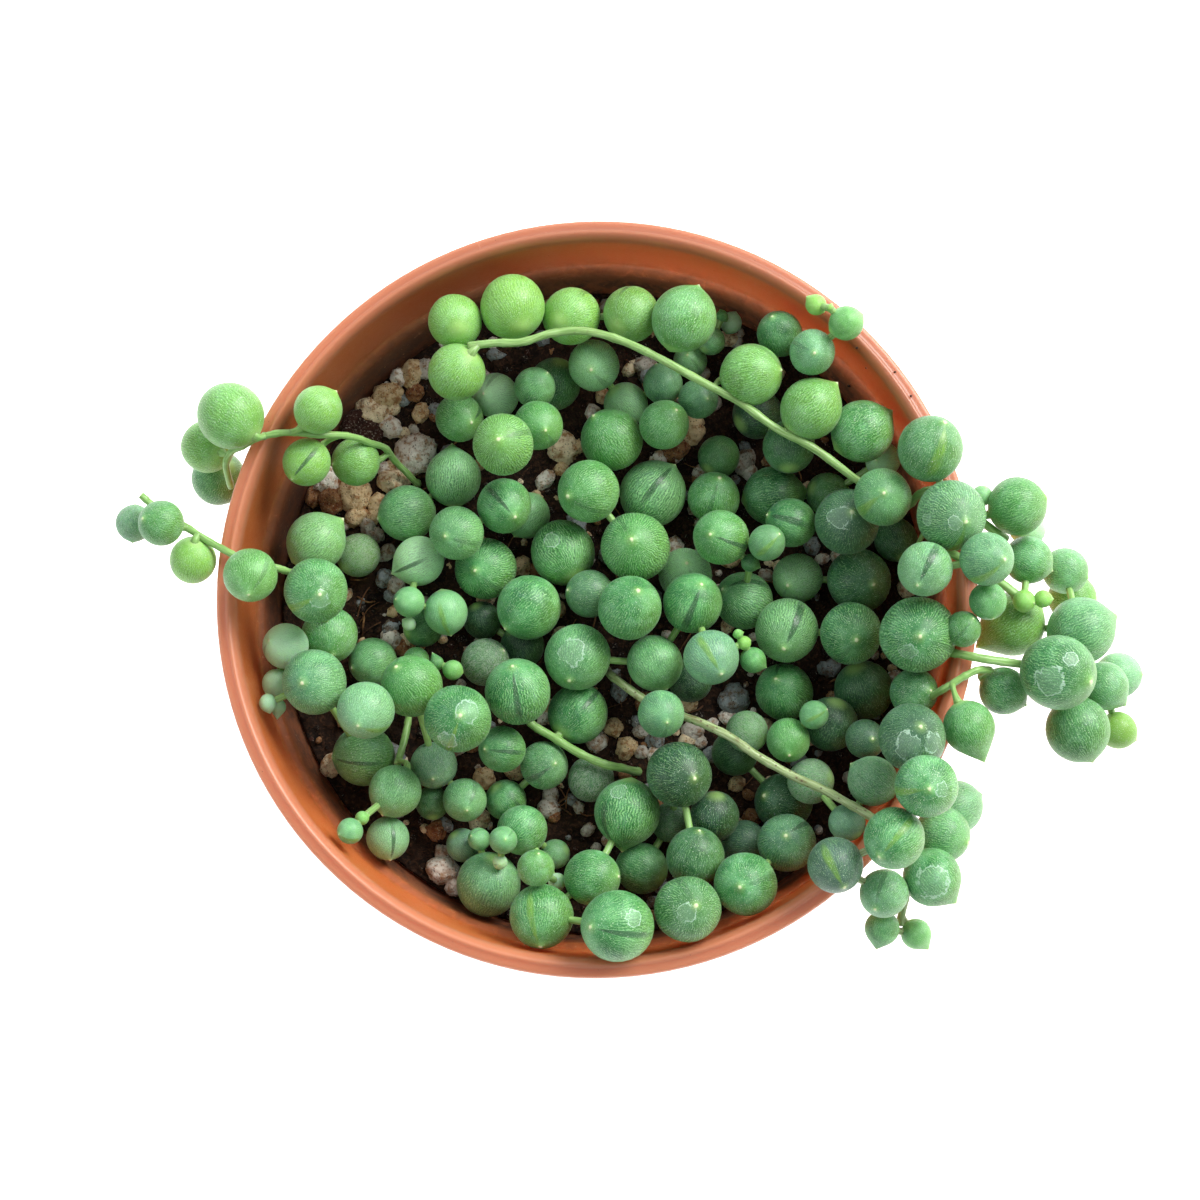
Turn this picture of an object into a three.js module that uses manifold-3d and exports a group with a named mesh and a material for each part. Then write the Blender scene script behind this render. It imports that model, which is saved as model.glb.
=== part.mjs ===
// A string of pearls in its round terracotta-coloured plastic pot.
// Millimetres, +Z up. The origin is the middle of the pot's underside.
//
// The pearls (round succulent leaves) are listed string by string, as they are seen from above, and
// a rule finds how high each one lies: as low as the potting mix, the pot wall and the pearls
// under it allow. Each string is one fused body: its stem, its stalks and its pearls.

import * as THREE from 'three';
import { mergeVertices } from 'three/addons/utils/BufferGeometryUtils.js';
import Module from 'manifold-3d';

const wasm = await Module();
wasm.setup();

// ---------------------------------------------------------------- driving dimensions

const POT_HEIGHT = 88;
const RIM_RADIUS = 52;
const RIM_LIP = 2.6;
const LIP_DROP = 3.6;
const COLLAR_HEIGHT = 12;
const COLLAR_TAPER = 1.2;
const COLLAR_STEP = 1.0;
const WALL = 1.3;
const BASE_RADIUS = 37.5;
const BASE_THICKNESS = 1.8;
const DRAIN_HOLES = 6;
const DRAIN_RADIUS = 3.5;
const DRAIN_CIRCLE = 27;
const POT_SIDES = 36;

const MIX_DEPTH_BELOW_RIM = 20;
const MIX_GAP = 0.35;
const MIX_SWELL = 0.6;
const MIX_RINGS = 4;
const GRIT_COUNT = 26;
const SMALL_PEARL = 2.8;
const GRIT_SIZE = [1.0, 1.9];

const STEM_RADIUS = 0.62;
const LINK_RADIUS = 0.7;
const LINK_SIDES = 3;
const STALK_RADIUS = 0.6;
const ROOT_DEPTH = 6;
const HOLE_CLEARANCE = 0.7;
const STEM_SPAN_STEPS = 3;
const STEM_STEP = 4.4;
const STEM_SIDES = 5;
const ROOT_REACH = 43;

const TIP_LENGTH = 1.12;
const PEARL_SWELL = 1.04;
const PEARL_GAP = 0.35;
const REST_GAP = 0.45;
const SETTLE_STEP = 0.1;
const SETTLE_TOP = 14;

// ---------------------------------------------------------------- the view from above
// Places on the plant are given as they are seen in a square view of VIEW_SIZE units, from an eye
// above the pot, with the rim's middle near the middle of the view. Heights are in mm above the rim.

const VIEW_SIZE = 1200;
const VIEW_FOCUS = 3190;
const EYE = new THREE.Vector3(25, -52, POT_HEIGHT + 430);
const AIM = new THREE.Vector3(0.8, -0.9, POT_HEIGHT);
const AHEAD = AIM.clone().sub(EYE).normalize();
const RIGHT = AHEAD.clone().cross(new THREE.Vector3(0, 1, 0)).normalize();
const UPWARD = RIGHT.clone().cross(AHEAD);

// The point that is seen at u, v and lies at the given height above the rim.
function seenAt(u, v, height) {
  const ray = AHEAD.clone().multiplyScalar(VIEW_FOCUS)
    .addScaledVector(RIGHT, u - VIEW_SIZE / 2)
    .addScaledVector(UPWARD, VIEW_SIZE / 2 - v);
  return EYE.clone().addScaledVector(ray, (POT_HEIGHT + height - EYE.z) / ray.z);
}

// Millimetres to one unit of the view, at a point.
function unitAt(point) {
  return point.clone().sub(EYE).dot(AHEAD) / VIEW_FOCUS;
}

// ---------------------------------------------------------------- the strings, as seen
// lying: pearls that rest in the heap, [u, v, radius, layer, tip u, tip v]; a lower layer lies
// under a higher one, and the string is rooted under its first lying pearl unless its stem starts
// in the mix. held: pearls that the stem holds up, [u, v, radius, height, tip u, tip v, away], with
// away 1 where the tip points down from the eye. stem: [u, v, height] along the bare stem.

const STRINGS = {
  string_back_arch: {
    stem: [
      [468, 346, 0.5], [495, 343, 0.6], [522, 342, 0.5], [553, 333, 0.3], [584, 331, 0.2], [617, 339, 0],
      [655, 356, 0], [706, 384, -0.2], [738, 401, -0.6], [776, 428, -1], [815, 449, -1.6], [857, 480, -4],
      [871, 487, -8], [876, 492, -14], [876, 493, -24],
    ],
    held: [
      [455, 321, 27, -2.6, 449, 309, 1], [513, 307, 32.5, -2.6, 502, 281, 1],
      [571, 316, 29, -5.4, 586, 306, 1],
      [631, 314, 28, -4.4, 648, 296, 1], [684, 319, 33, -1, 699, 285], [751, 375, 31, -1.5, 781, 371],
      [811, 409, 31, -1.5, 838, 382], [862, 431, 31, -4.6, 893, 410], [883, 497, 29, 1.6, 881, 494],
      [457, 372, 28.5, -1.6, 440, 392, 1],
    ],
  },
  string_back_tip: {
    held: [
      [780, 334, 23, -5, 771, 318], [812, 352, 23, 0.4, 813, 355], [846, 323, 17.3, 3.4, 864, 314],
      [816, 305, 10.5, 2.6, 806, 296], [830, 308, 4, 4.6, 832, 303],
    ],
  },
  string_back_middle: {
    lying: [
      [612, 440, 31, 1, 593, 416], [626, 404, 22, 0], [594, 365, 26, 1, 591, 372],
      [664, 425, 25, 1, 676, 411],
      [663, 384, 20, 1, 656, 364], [698, 399, 20, 1, 707, 400], [690, 361, 17, 1, 687, 356],
      [711, 341, 14, 1], [731, 323, 11, 1, 736, 311], [722, 316, 6, 1, 720, 309],
    ],
  },
  string_back_left: {
    lying: [
      [555, 384, 26, 0], [535, 388, 20.5, 1, 548, 373], [496, 396, 23, 1, 484, 395],
      [538, 425, 25, 2, 546, 432],
      [459, 418, 24, 1, 473, 424], [503, 444, 31, 3, 499, 441],
    ],
  },
  string_left_middle: {
    lying: [
      [453, 478, 28, 1, 452, 443], [407, 513, 28, 1, 378, 519], [527, 515, 23, 1, 514, 537],
      [504, 506, 27.5, 2, 516, 518], [457, 533, 27, 2, 446, 537], [419, 561, 25, 1, 391, 574],
      [486, 569, 31, 1, 476, 571], [423, 627, 20, 0], [446, 612, 22, 2, 451, 636],
      [409, 602, 15.5, 2, 396, 599], [409, 624, 7, 2, 402, 619],
    ],
  },
  string_middle: {
    lying: [
      [563, 553, 32.5, 1], [589, 491, 31, 2, 567, 497], [653, 494, 33, 2, 675, 465],
      [590, 594, 24, 1, 567, 590],
      [635, 547, 34.5, 3, 631, 540], [630, 608, 32, 3, 638, 590], [685, 575, 27, 1, 686, 563],
    ],
  },
  string_middle_left: {
    stem: [
      [639, 773, -24], [637, 772, -18], [622, 768, -14], [604, 764, -12.4], [579, 753, -12.6],
      [553, 737, -12.8], [532, 724, -12.6], [518, 705, -12.4],
    ],
    lying: [
      [482, 620, 19, 0], [485, 662, 24, 1, 505, 650], [522, 646, 22, 0], [529, 607, 32, 2, 505, 629],
      [518, 692, 33, 2, 513, 665], [578, 714, 30, 1],
    ],
  },
  string_middle_right: {
    lying: [
      [690, 680, 22, 0], [655, 663, 28, 2, 667, 689], [693, 603, 30, 2, 701, 584],
      [578, 657, 33, 3, 569, 681],
      [711, 657, 27.5, 3, 721, 674],
    ],
    held: [[753, 660, 13, -6, 767, 668], [744, 643, 7, -4.6, 751, 640], [738, 634, 5, -4.2, 744, 632]],
  },
  string_centre_right: {
    lying: [
      [719, 457, 21, 0], [714, 498, 26, 1, 719, 478], [721, 537, 28, 2, 709, 535],
      [744, 601, 29, 1, 721, 589],
      [767, 543, 18.5, 3, 779, 534],
    ],
    held: [[750, 563, 9, -9, 761, 568]],
  },
  string_back_right: {
    lying: [
      [757, 414, 25, 0], [789, 447, 26.5, 1], [773, 496, 30, 0, 809, 490], [791, 523, 25, 2, 766, 515],
      [828, 494, 22, 1], [847, 522, 33, 2, 849, 513], [883, 460, 18, 1, 874, 461],
    ],
  },
  string_right: {
    lying: [
      [798, 578, 25, 1, 786, 586], [859, 580, 32, 1, 871, 585], [787, 630, 32, 2, 782, 649],
      [851, 633, 31, 2, 854, 640],
    ],
  },
  string_right_low: {
    lying: [
      [864, 690, 29.5, 0], [831, 724, 27, 0], [784, 692, 29, 1, 774, 678], [814, 715, 14.5, 3, 827, 709],
      [788, 740, 22, 2, 788, 755], [865, 739, 20, 1, 871, 738],
    ],
  },
  string_over_right_back: {
    stem: [
      [898, 509, -24], [902, 509, -14], [911, 503, -4], [920, 494, 0.4], [936, 490, 0.9], [960, 500, 0.7],
      [984, 523, 0.2], [1006, 539, -2.5],
    ],
    held: [
      [930, 449, 33, 5.4, 943, 423], [951, 515, 35, 5.6, 962, 523], [1017, 506, 29, 1, 1046, 497],
      [982, 496, 10.5, 0, 985, 487], [1028, 530, 17, -9, 1046, 524],
    ],
  },
  string_over_right_young: {
    stem: [
      [926, 530, -6], [938, 545, -0.6], [947, 551, 0.7], [960, 558, 0.9], [976, 570, 0.8], [1000, 582, -1],
      [1016, 594, -1.5], [1030, 600, -1.5], [1043, 600, -1.5],
    ],
    held: [
      [987, 559, 27, 8.8, 1002, 560], [988, 601, 18.8, 4.2, 992, 619], [1024, 601, 11.5, -1, 1033, 603],
      [1043, 599, 9, -1, 1054, 599], [1028, 560, 24, -3.5, 1053, 571],
    ],
    lying: [[896, 540, 22, 0], [925, 569, 27.5, 3, 915, 586]],
  },
  string_over_right: {
    stem: [
      [901, 656, -24], [901, 655, -17], [910, 653, -10], [928, 652, -5], [942, 652, -1.8], [950, 653, -0.4],
      [959, 654, 0.8], [985, 659, 0.9], [1020, 664, -1], [1050, 668, -5], [1072, 660, -9], [1092, 672, -12],
    ],
    held: [
      [1058, 672, 38, 1.5, 1087, 682], [1081, 631, 33.5, -5, 1118, 615], [1078, 729, 32.3, -6, 1092, 762],
      [1104, 686, 24.5, -9, 1127, 706], [1118, 675, 23.3, -15, 1141, 674], [1118, 730, 18.8, -12, 1137, 741],
      [1065, 571, 23, -12, 1087, 578], [1072, 598, 24, -18, 1095, 603], [1013, 624, 32, -7, 975, 648],
      [963, 629, 18, 3.4, 972, 618], [918, 635, 38.5, 1.3, 916, 636],
    ],
  },
  string_over_right_low: {
    stem: [
      [918, 700, -5], [930, 697, -2], [942, 690, 0.2], [952, 684, 0.9], [965, 676, 0.9],
      [978, 670, 0.5], [990, 670, -1],
    ],
    held: [
      [914, 692, 24.2, -3.8, 929, 690], [1003, 691, 24, -4, 1027, 706],
      [969, 727, 26.5, 3.3, 985, 763],
    ],
  },
  string_old: {
    stem: [
      [606, 668, -24], [607, 670, -18], [612, 676, -13], [642, 698, -10], [662, 708, -8.5],
      [685, 717, -6.5], [704, 724, -5.4], [732, 738, -4.6], [756, 755, -4], [793, 776, -3.4],
      [824, 790, -2.6], [851, 805, -0.6], [868, 815, 0.6], [890, 828, 1], [905, 843, -0.6],
      [912, 862, -4.5], [908, 885, -7], [902, 912, -8.5], [901, 926, -8.5],
    ],
    held: [
      [661, 714, 23.5, -4, 667, 722], [894, 838, 31, 8.6, 877, 855], [926, 786, 32, 11.4, 926, 787],
      [912, 737, 34.3, 7, 917, 725], [942, 834, 28, -5.5, 967, 842], [955, 807, 27, -9.5, 983, 794],
      [932, 877, 29.3, -1.5, 957, 904], [884, 893, 24.5, 0.5, 873, 908], [882, 928, 17.3, -6, 876, 950],
      [916, 934, 15.3, -9, 929, 950], [835, 865, 28, 5, 843, 886],
    ],
  },
  string_front_right_deep: {
    lying: [
      [784, 802, 29, 0, 762, 794], [735, 753, 23, 0], [747, 732, 21, 1], [811, 781, 23, 2],
      [873, 781, 25, 2, 850, 763], [847, 823, 18.5, 1],
    ],
  },
  string_front_right: {
    lying: [
      [745, 843, 23, 0], [714, 816, 25, 0], [787, 843, 29, 1, 784, 833], [746, 884, 32, 2, 738, 884],
    ],
  },
  string_front_middle: {
    lying: [
      [679, 774, 33, 1, 694, 777], [671, 822, 20, 0], [695, 857, 29.5, 1, 699, 829], [642, 868, 26, 1],
      [688, 909, 33.5, 3, 695, 902],
    ],
  },
  string_front: {
    lying: [
      [592, 878, 28, 1, 619, 875], [627, 812, 33, 2, 622, 853], [591, 779, 23, 0],
      [618, 926, 36.5, 3, 590, 924],
      [541, 916, 32, 2, 541, 945],
    ],
  },
  string_front_left: {
    lying: [
      [522, 830, 25, 1], [506, 800, 20.5, 0], [544, 765, 24, 1, 556, 762], [502, 749, 23.5, 1, 485, 748],
      [536, 868, 18.5, 2, 539, 852], [555, 854, 15, 1],
    ],
    held: [[557, 882, 9, -9.5, 562, 875]],
  },
  string_front_young: {
    lying: [
      [488, 884, 32, 1], [463, 845, 17, 0], [479, 839, 11.5, 2, 471, 835], [503, 840, 14, 3, 506, 838],
      [500, 862, 7.5, 3, 500, 864],
    ],
  },
  string_left_low: {
    stem: [[409, 710, -24], [409, 711, -17.5], [408, 722, -16], [405, 737, -15], [401, 752, -14], [397, 765, -13.5]],
    lying: [
      [395, 791, 26, 2, 383, 815], [388, 838, 21.5, 1, 391, 860], [350, 831, 13, 2, 339, 834],
    ],
    held: [[362, 818, 7, -5, 370, 815]],
  },
  string_left_front: {
    lying: [
      [434, 765, 23.5, 1, 434, 778], [432, 803, 17, 0], [465, 800, 22, 1, 468, 809],
      [458, 719, 34, 3, 462, 714],
      [412, 686, 31, 2, 397, 666], [373, 662, 24, 1, 352, 668], [416, 660, 13, 0],
    ],
    held: [[453, 670, 10, -8, 442, 667], [437, 663, 7, -8.5, 432, 652]],
  },
  string_left: {
    lying: [
      [364, 756, 30.5, 1, 332, 757], [366, 710, 29, 2, 360, 725], [314, 682, 32.5, 3, 305, 682],
      [286, 646, 23, 2, 271, 640], [276, 683, 14, 1, 266, 693], [268, 703, 9, 1, 270, 714],
      [278, 707, 8, 1, 277, 720],
    ],
  },
  string_over_left: {
    stem: [[296, 574, -3], [286, 571, -1], [277, 568, 0.6], [262, 565, 1], [244, 560, 1], [230, 553, 1],
      [205, 539, 0.8], [183, 525, 0.6], [165, 514, 1], [150, 503, 2], [141, 495, 2.6]],
    held: [
      [250, 575, 26.8, 5.6, 251, 595], [193, 560, 23.5, -1, 189, 581, 1], [161, 523, 22.8, 3.6, 145, 519],
      [134, 523, 18.3, -2, 133, 543],
    ],
    lying: [
      [330, 635, 28.2, 1, 334, 656], [316, 591, 32, 3, 323, 595], [316, 542, 29.5, 2, 344, 518],
      [358, 555, 22, 0],
    ],
  },
  string_over_left_back: {
    stem: [
      [421, 487, -24], [418, 485, -18.5], [408, 474, -17], [395, 461, -14], [385, 448, -10.5],
      [370, 443, -7.5],
      [357, 438, -5], [340, 435, -2.6], [318, 435, -0.6], [300, 433, 0.6], [280, 433, 1], [258, 438, 1],
      [243, 446, -0.4], [231, 452, -1.4], [226, 463, -3], [228, 476, -5], [231, 487, -7],
    ],
    held: [
      [318, 410, 24.2, 2.4, 337, 391], [307, 462, 24, -2.5, 293, 480], [356, 462, 24, -9.4, 333, 465],
      [231, 416, 33.5, 2.6, 203, 393, 1], [208, 447, 26.7, -6, 190, 440, 1], [219, 478, 27, -14, 208, 492, 1],
    ],
  },
};

// ---------------------------------------------------------------- seeded draws

// A number from 0 to 1 that depends only on the seed.
function draw(seed) {
  const wave = Math.sin(seed * 12.9898 + 78.233) * 43758.5453;
  return wave - Math.floor(wave);
}

// ---------------------------------------------------------------- closed solids and joins

// A three.js geometry as a solid: shared vertices merged, triangles with no area dropped.
function solidOf(geometry) {
  const bare = new THREE.BufferGeometry();
  bare.setAttribute('position', geometry.attributes.position);
  const index = geometry.index ?? [...Array(geometry.attributes.position.count).keys()];
  bare.setIndex(index.isBufferAttribute ? index.clone() : index);
  const merged = mergeVertices(bare, 1e-5);
  const corners = merged.index.array;
  const kept = [];
  for (let i = 0; i < corners.length; i += 3) {
    const [a, b, c] = [corners[i], corners[i + 1], corners[i + 2]];
    if (a !== b && b !== c && c !== a) kept.push(a, b, c);
  }
  const mesh = new wasm.Mesh({
    numProp: 3,
    vertProperties: Float32Array.from(merged.attributes.position.array),
    triVerts: Uint32Array.from(kept),
  });
  return new wasm.Manifold(mesh);
}

function geometryOf(solid) {
  const mesh = solid.getMesh();
  const geometry = new THREE.BufferGeometry();
  geometry.setAttribute('position', new THREE.BufferAttribute(Float32Array.from(mesh.vertProperties), 3));
  geometry.setIndex([...mesh.triVerts]);
  return geometry;
}

function joined(solids) {
  return solids.reduce((whole, next) => whole.add(next));
}

// A straight rod between two points.
function rod(from, to, radius, sides) {
  const along = to.clone().sub(from);
  const geometry = new THREE.CylinderGeometry(radius, radius, along.length(), sides, 1);
  geometry.applyQuaternion(
    new THREE.Quaternion().setFromUnitVectors(new THREE.Vector3(0, 1, 0), along.clone().normalize()));
  geometry.translate(...from.clone().add(to).multiplyScalar(0.5).toArray());
  return solidOf(geometry);
}

// ---------------------------------------------------------------- the pot

// The wall's inner radius at a height, below the collar's step.
function innerWall(z) {
  const top = RIM_RADIUS - RIM_LIP - COLLAR_TAPER - COLLAR_STEP;
  const foot = BASE_RADIUS - WALL;
  return foot + (top - foot) * (z / (POT_HEIGHT - COLLAR_HEIGHT - COLLAR_STEP));
}

// The inside of the rim as [radius, height] corners, from the lip's outer edge down to the mix.
const STEP_TOP = POT_HEIGHT - COLLAR_HEIGHT;
const RIM_INSIDE = [
  [RIM_RADIUS, POT_HEIGHT - LIP_DROP],
  [RIM_RADIUS, POT_HEIGHT - 1.1],
  [RIM_RADIUS - 0.5, POT_HEIGHT - 0.3],
  [RIM_RADIUS - 1.2, POT_HEIGHT],
  [RIM_RADIUS - RIM_LIP + 0.5, POT_HEIGHT - 0.3],
  [RIM_RADIUS - RIM_LIP, POT_HEIGHT - 1.2],
  [RIM_RADIUS - RIM_LIP - COLLAR_TAPER, STEP_TOP],
  [innerWall(STEP_TOP - COLLAR_STEP), STEP_TOP - COLLAR_STEP],
];

function makePot() {
  const outerStep = innerWall(STEP_TOP - COLLAR_STEP) + WALL;
  const profile = [
    [0, 0],
    [BASE_RADIUS - 1, 0],
    [BASE_RADIUS, 1],
    [outerStep, STEP_TOP - COLLAR_STEP - 1],
    [outerStep + 1, STEP_TOP],
    [RIM_RADIUS - 1.2, POT_HEIGHT - LIP_DROP - 0.6],
    ...RIM_INSIDE,
    [innerWall(BASE_THICKNESS), BASE_THICKNESS],
    [0, BASE_THICKNESS],
  ];
  const shell = new THREE.LatheGeometry(profile.map(([r, z]) => new THREE.Vector2(r, z)), POT_SIDES);
  shell.rotateX(Math.PI / 2);
  let pot = solidOf(shell);
  for (let i = 0; i < DRAIN_HOLES; i += 1) {
    const turn = ((i + 0.5) / DRAIN_HOLES) * 2 * Math.PI;
    const at = new THREE.Vector3(Math.cos(turn) * DRAIN_CIRCLE, Math.sin(turn) * DRAIN_CIRCLE, 0);
    pot = pot.subtract(rod(at.clone().setZ(-1), at.clone().setZ(BASE_THICKNESS + 1), DRAIN_RADIUS, 8));
  }
  return geometryOf(pot);
}

// ---------------------------------------------------------------- the potting mix

// The mix's surface: two crossed waves of MIX_SWELL mm about its level.
function mixTop(x, y) {
  const level = POT_HEIGHT - MIX_DEPTH_BELOW_RIM;
  return level + MIX_SWELL * 0.5 * (Math.sin(0.17 * x + 0.6) + Math.cos(0.15 * y - 0.4));
}

function makeMix(pearls, stems, roots) {
  const bottom = BASE_THICKNESS + MIX_GAP;
  const edge = innerWall(POT_HEIGHT - MIX_DEPTH_BELOW_RIM) - MIX_GAP;
  const profile = [[0, bottom], [innerWall(bottom) - MIX_GAP, bottom]];
  for (let ring = MIX_RINGS; ring >= 0; ring -= 1) {
    profile.push([(edge * ring) / MIX_RINGS, POT_HEIGHT - MIX_DEPTH_BELOW_RIM]);
  }
  const body = new THREE.LatheGeometry(profile.map(([r, z]) => new THREE.Vector2(r, z)), POT_SIDES);
  body.rotateX(Math.PI / 2);
  const place = body.attributes.position;
  for (let i = 0; i < place.count; i += 1) {
    const onTop = place.getZ(i) > bottom + 1;
    const inside = Math.hypot(place.getX(i), place.getY(i)) < edge - 1;
    if (onTop && inside) place.setZ(i, mixTop(place.getX(i), place.getY(i)));
  }
  let mix = solidOf(body);
  for (const grain of gritGrains(pearls, stems, roots)) mix = mix.add(grain);
  for (const root of roots) {
    const from = root.clone().setZ(mixTop(root.x, root.y) + 4);
    const to = root.clone().setZ(mixTop(root.x, root.y) - ROOT_DEPTH - 1);
    mix = mix.subtract(rod(from, to, STEM_RADIUS + HOLE_CLEARANCE, 6));
  }
  return geometryOf(mix);
}

// Pumice grains, half sunk in the mix, at seeded places that the plant leaves free.
function gritGrains(pearls, stems, roots) {
  const grains = [];
  const places = [];
  const edge = innerWall(POT_HEIGHT - MIX_DEPTH_BELOW_RIM);
  for (let seed = 1; grains.length < GRIT_COUNT && seed < 900; seed += 1) {
    const size = GRIT_SIZE[0] + (GRIT_SIZE[1] - GRIT_SIZE[0]) * draw(seed * 3.1);
    const reach = (edge - size - 0.6) * Math.sqrt(draw(seed * 5.7));
    const turn = 2 * Math.PI * draw(seed * 7.3);
    const at = new THREE.Vector3(reach * Math.cos(turn), reach * Math.sin(turn), 0);
    at.setZ(mixTop(at.x, at.y) + 0.25 * size);
    const clear = pearls.every((pearl) => pearl.centre.distanceTo(at) > pearl.radius + size + 0.5)
      && stems.every((point) => point.distanceTo(at) > STEM_RADIUS + size + 0.5)
      && roots.every((root) => Math.hypot(root.x - at.x, root.y - at.y) > size + 2)
      && places.every(([other, width]) => other.distanceTo(at) > size + width + 0.4);
    if (clear) {
      const grain = new THREE.OctahedronGeometry(size, 0);
      grain.scale(1, 0.7 + 0.5 * draw(seed * 11.9), 0.75);
      grain.rotateZ(2 * Math.PI * draw(seed * 13.3));
      grain.translate(...at.toArray());
      grains.push(solidOf(grain));
      places.push([at, size]);
    }
  }
  return grains;
}

// ---------------------------------------------------------------- where the pearls lie

// Distance from a point to the line between two others, all as [radius, height].
function distanceToEdge([r, z], [r0, z0], [r1, z1]) {
  const [dr, dz] = [r1 - r0, z1 - z0];
  const share = ((r - r0) * dr + (z - z0) * dz) / (dr * dr + dz * dz);
  const near = Math.min(1, Math.max(0, share));
  return Math.hypot(r - r0 - near * dr, z - z0 - near * dz);
}

const WALL_INSIDE = [...RIM_INSIDE, [innerWall(POT_HEIGHT / 2), POT_HEIGHT / 2]];

function clearOfPot(centre, radius) {
  const place = [Math.hypot(centre.x, centre.y), centre.z];
  const near = WALL_INSIDE.slice(1).map((corner, i) => distanceToEdge(place, WALL_INSIDE[i], corner));
  const inside = place[1] > POT_HEIGHT || place[0] < innerWall(place[1]) + COLLAR_STEP;
  return inside && Math.min(...near) > radius + REST_GAP;
}

// Which way a pearl's tip points. The tip is seen at tipU, tipV; with none seen, it lies level.
function tipDirection(u, v, size, tipU, tipV, away, seed) {
  const turn = 2 * Math.PI * draw(seed * 17.7);
  const across = tipU === undefined ? 0.88 * Math.cos(turn) : (tipU - u) / size / TIP_LENGTH;
  const up = tipV === undefined ? 0.88 * Math.sin(turn) : (v - tipV) / size / TIP_LENGTH;
  const flat = Math.hypot(across, up);
  const depth = Math.sqrt(Math.max(0, 1 - flat * flat)) * (away || tipU === undefined ? -1 : 1);
  return new THREE.Vector3()
    .addScaledVector(RIGHT, across)
    .addScaledVector(UPWARD, up)
    .addScaledVector(AHEAD, -depth)
    .normalize();
}

function pearlAt([u, v, size, , tipU, tipV, away], height, seed) {
  const centre = seenAt(u, v, height);
  const unit = unitAt(centre);
  const seenReach = tipU === undefined ? 0 : Math.hypot(tipU - u, tipV - v) / size;
  return {
    centre,
    radius: size * unit,
    reach: Math.max(TIP_LENGTH, seenReach),
    tip: tipDirection(u, v, size, tipU, tipV, away, seed),
  };
}

// The stem's points in space. An end that lies in the mix goes straight down into it.
function stemRoute(rows) {
  const route = [];
  for (const [u, v, height] of rows) {
    const point = seenAt(u, v, height);
    const inset = point.clone().setZ(0).clampLength(0, ROOT_REACH);
    const neck = inset.clone().setZ(mixTop(inset.x, inset.y) + 0.4);
    const foot = inset.clone().setZ(mixTop(inset.x, inset.y) - ROOT_DEPTH);
    if (height > -MIX_DEPTH_BELOW_RIM) route.push(point);
    else if (route.length) route.push(neck, foot);
    else route.push(foot, neck);
  }
  return route;
}

function smoothLine(points) {
  return new THREE.CatmullRomCurve3(points, false, 'catmullrom', 0.5);
}

// Held pearls and bare stems are placed first. Then each lying pearl, layer by layer, goes to
// the lowest free place on its line of sight that is above what it covers in the view.
function placePlant() {
  const strings = Object.entries(STRINGS).map(([name, plan]) => ({ name, plan, pearls: [], lying: [] }));
  const stemPoints = [];
  let seed = 1;
  for (const string of strings) {
    string.route = stemRoute(string.plan.stem ?? []);
    const { length } = string.route;
    string.path = length ? smoothLine(string.route).getPoints(STEM_SPAN_STEPS * (length - 1)) : [];
    stemPoints.push(...string.path);
    for (const row of string.plan.held ?? []) {
      string.pearls.push({ ...pearlAt(row, row[3], seed), row });
      seed += 1;
    }
    for (const row of string.plan.lying ?? []) {
      string.lying.push({ row, seed, string });
      seed += 1;
    }
  }
  const placed = strings.flatMap((string) => string.pearls);
  const settled = [];
  const waiting = strings.flatMap((string) => string.lying);
  waiting.sort((a, b) => a.row[3] - b.row[3] || a.seed - b.seed);
  for (const { row, seed: own, string } of waiting) {
    const [u, v, size] = row;
    const covered = settled.filter((other) => other.row[3] < row[3]
      && Math.hypot(other.row[0] - u, other.row[1] - v) < 0.9 * (size + other.row[2]));
    const floor = Math.max(-Infinity, ...covered.map((other) => other.height));
    let height = -MIX_DEPTH_BELOW_RIM;
    let pearl = pearlAt(row, height, own);
    const roomFrom = (point) => point.distanceTo(pearl.centre) - pearl.radius - PEARL_GAP;
    const free = () => height > floor
      && pearl.centre.z > mixTop(pearl.centre.x, pearl.centre.y) + pearl.radius + REST_GAP
      && clearOfPot(pearl.centre, pearl.radius)
      && placed.every((other) => roomFrom(other.centre) > other.radius)
      && stemPoints.every((point) => roomFrom(point) > STEM_RADIUS);
    while (!free() && height < SETTLE_TOP) {
      height += SETTLE_STEP;
      pearl = pearlAt(row, height, own);
    }
    Object.assign(pearl, { row, height });
    string.pearls.push(pearl);
    placed.push(pearl);
    settled.push(pearl);
  }
  return strings;
}

// ---------------------------------------------------------------- one string

// A pearl: a few-sided ball whose far pole is drawn out to the tip.
function makePearl({ centre, radius, reach, tip }) {
  const small = radius < SMALL_PEARL;
  const ball = new THREE.SphereGeometry(radius * PEARL_SWELL, small ? 5 : 6, small ? 3 : 4);
  const place = ball.attributes.position;
  for (let i = 0; i < place.count; i += 1) {
    if (place.getY(i) > 0.99 * radius) place.setY(i, radius * reach);
  }
  ball.applyQuaternion(new THREE.Quaternion().setFromUnitVectors(new THREE.Vector3(0, 1, 0), tip));
  ball.translate(...centre.toArray());
  return solidOf(ball);
}

// The bare stem, a tube along its line.
function makeStem({ route }) {
  const line = smoothLine(route);
  const ring = new THREE.Shape().absarc(0, 0, STEM_RADIUS, 0, 2 * Math.PI);
  const section = new THREE.Shape(ring.getSpacedPoints(STEM_SIDES).slice(0, STEM_SIDES));
  const steps = Math.ceil(line.getLength() / STEM_STEP);
  return solidOf(new THREE.ExtrudeGeometry(section, { steps, bevelEnabled: false, extrudePath: line }));
}

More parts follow.
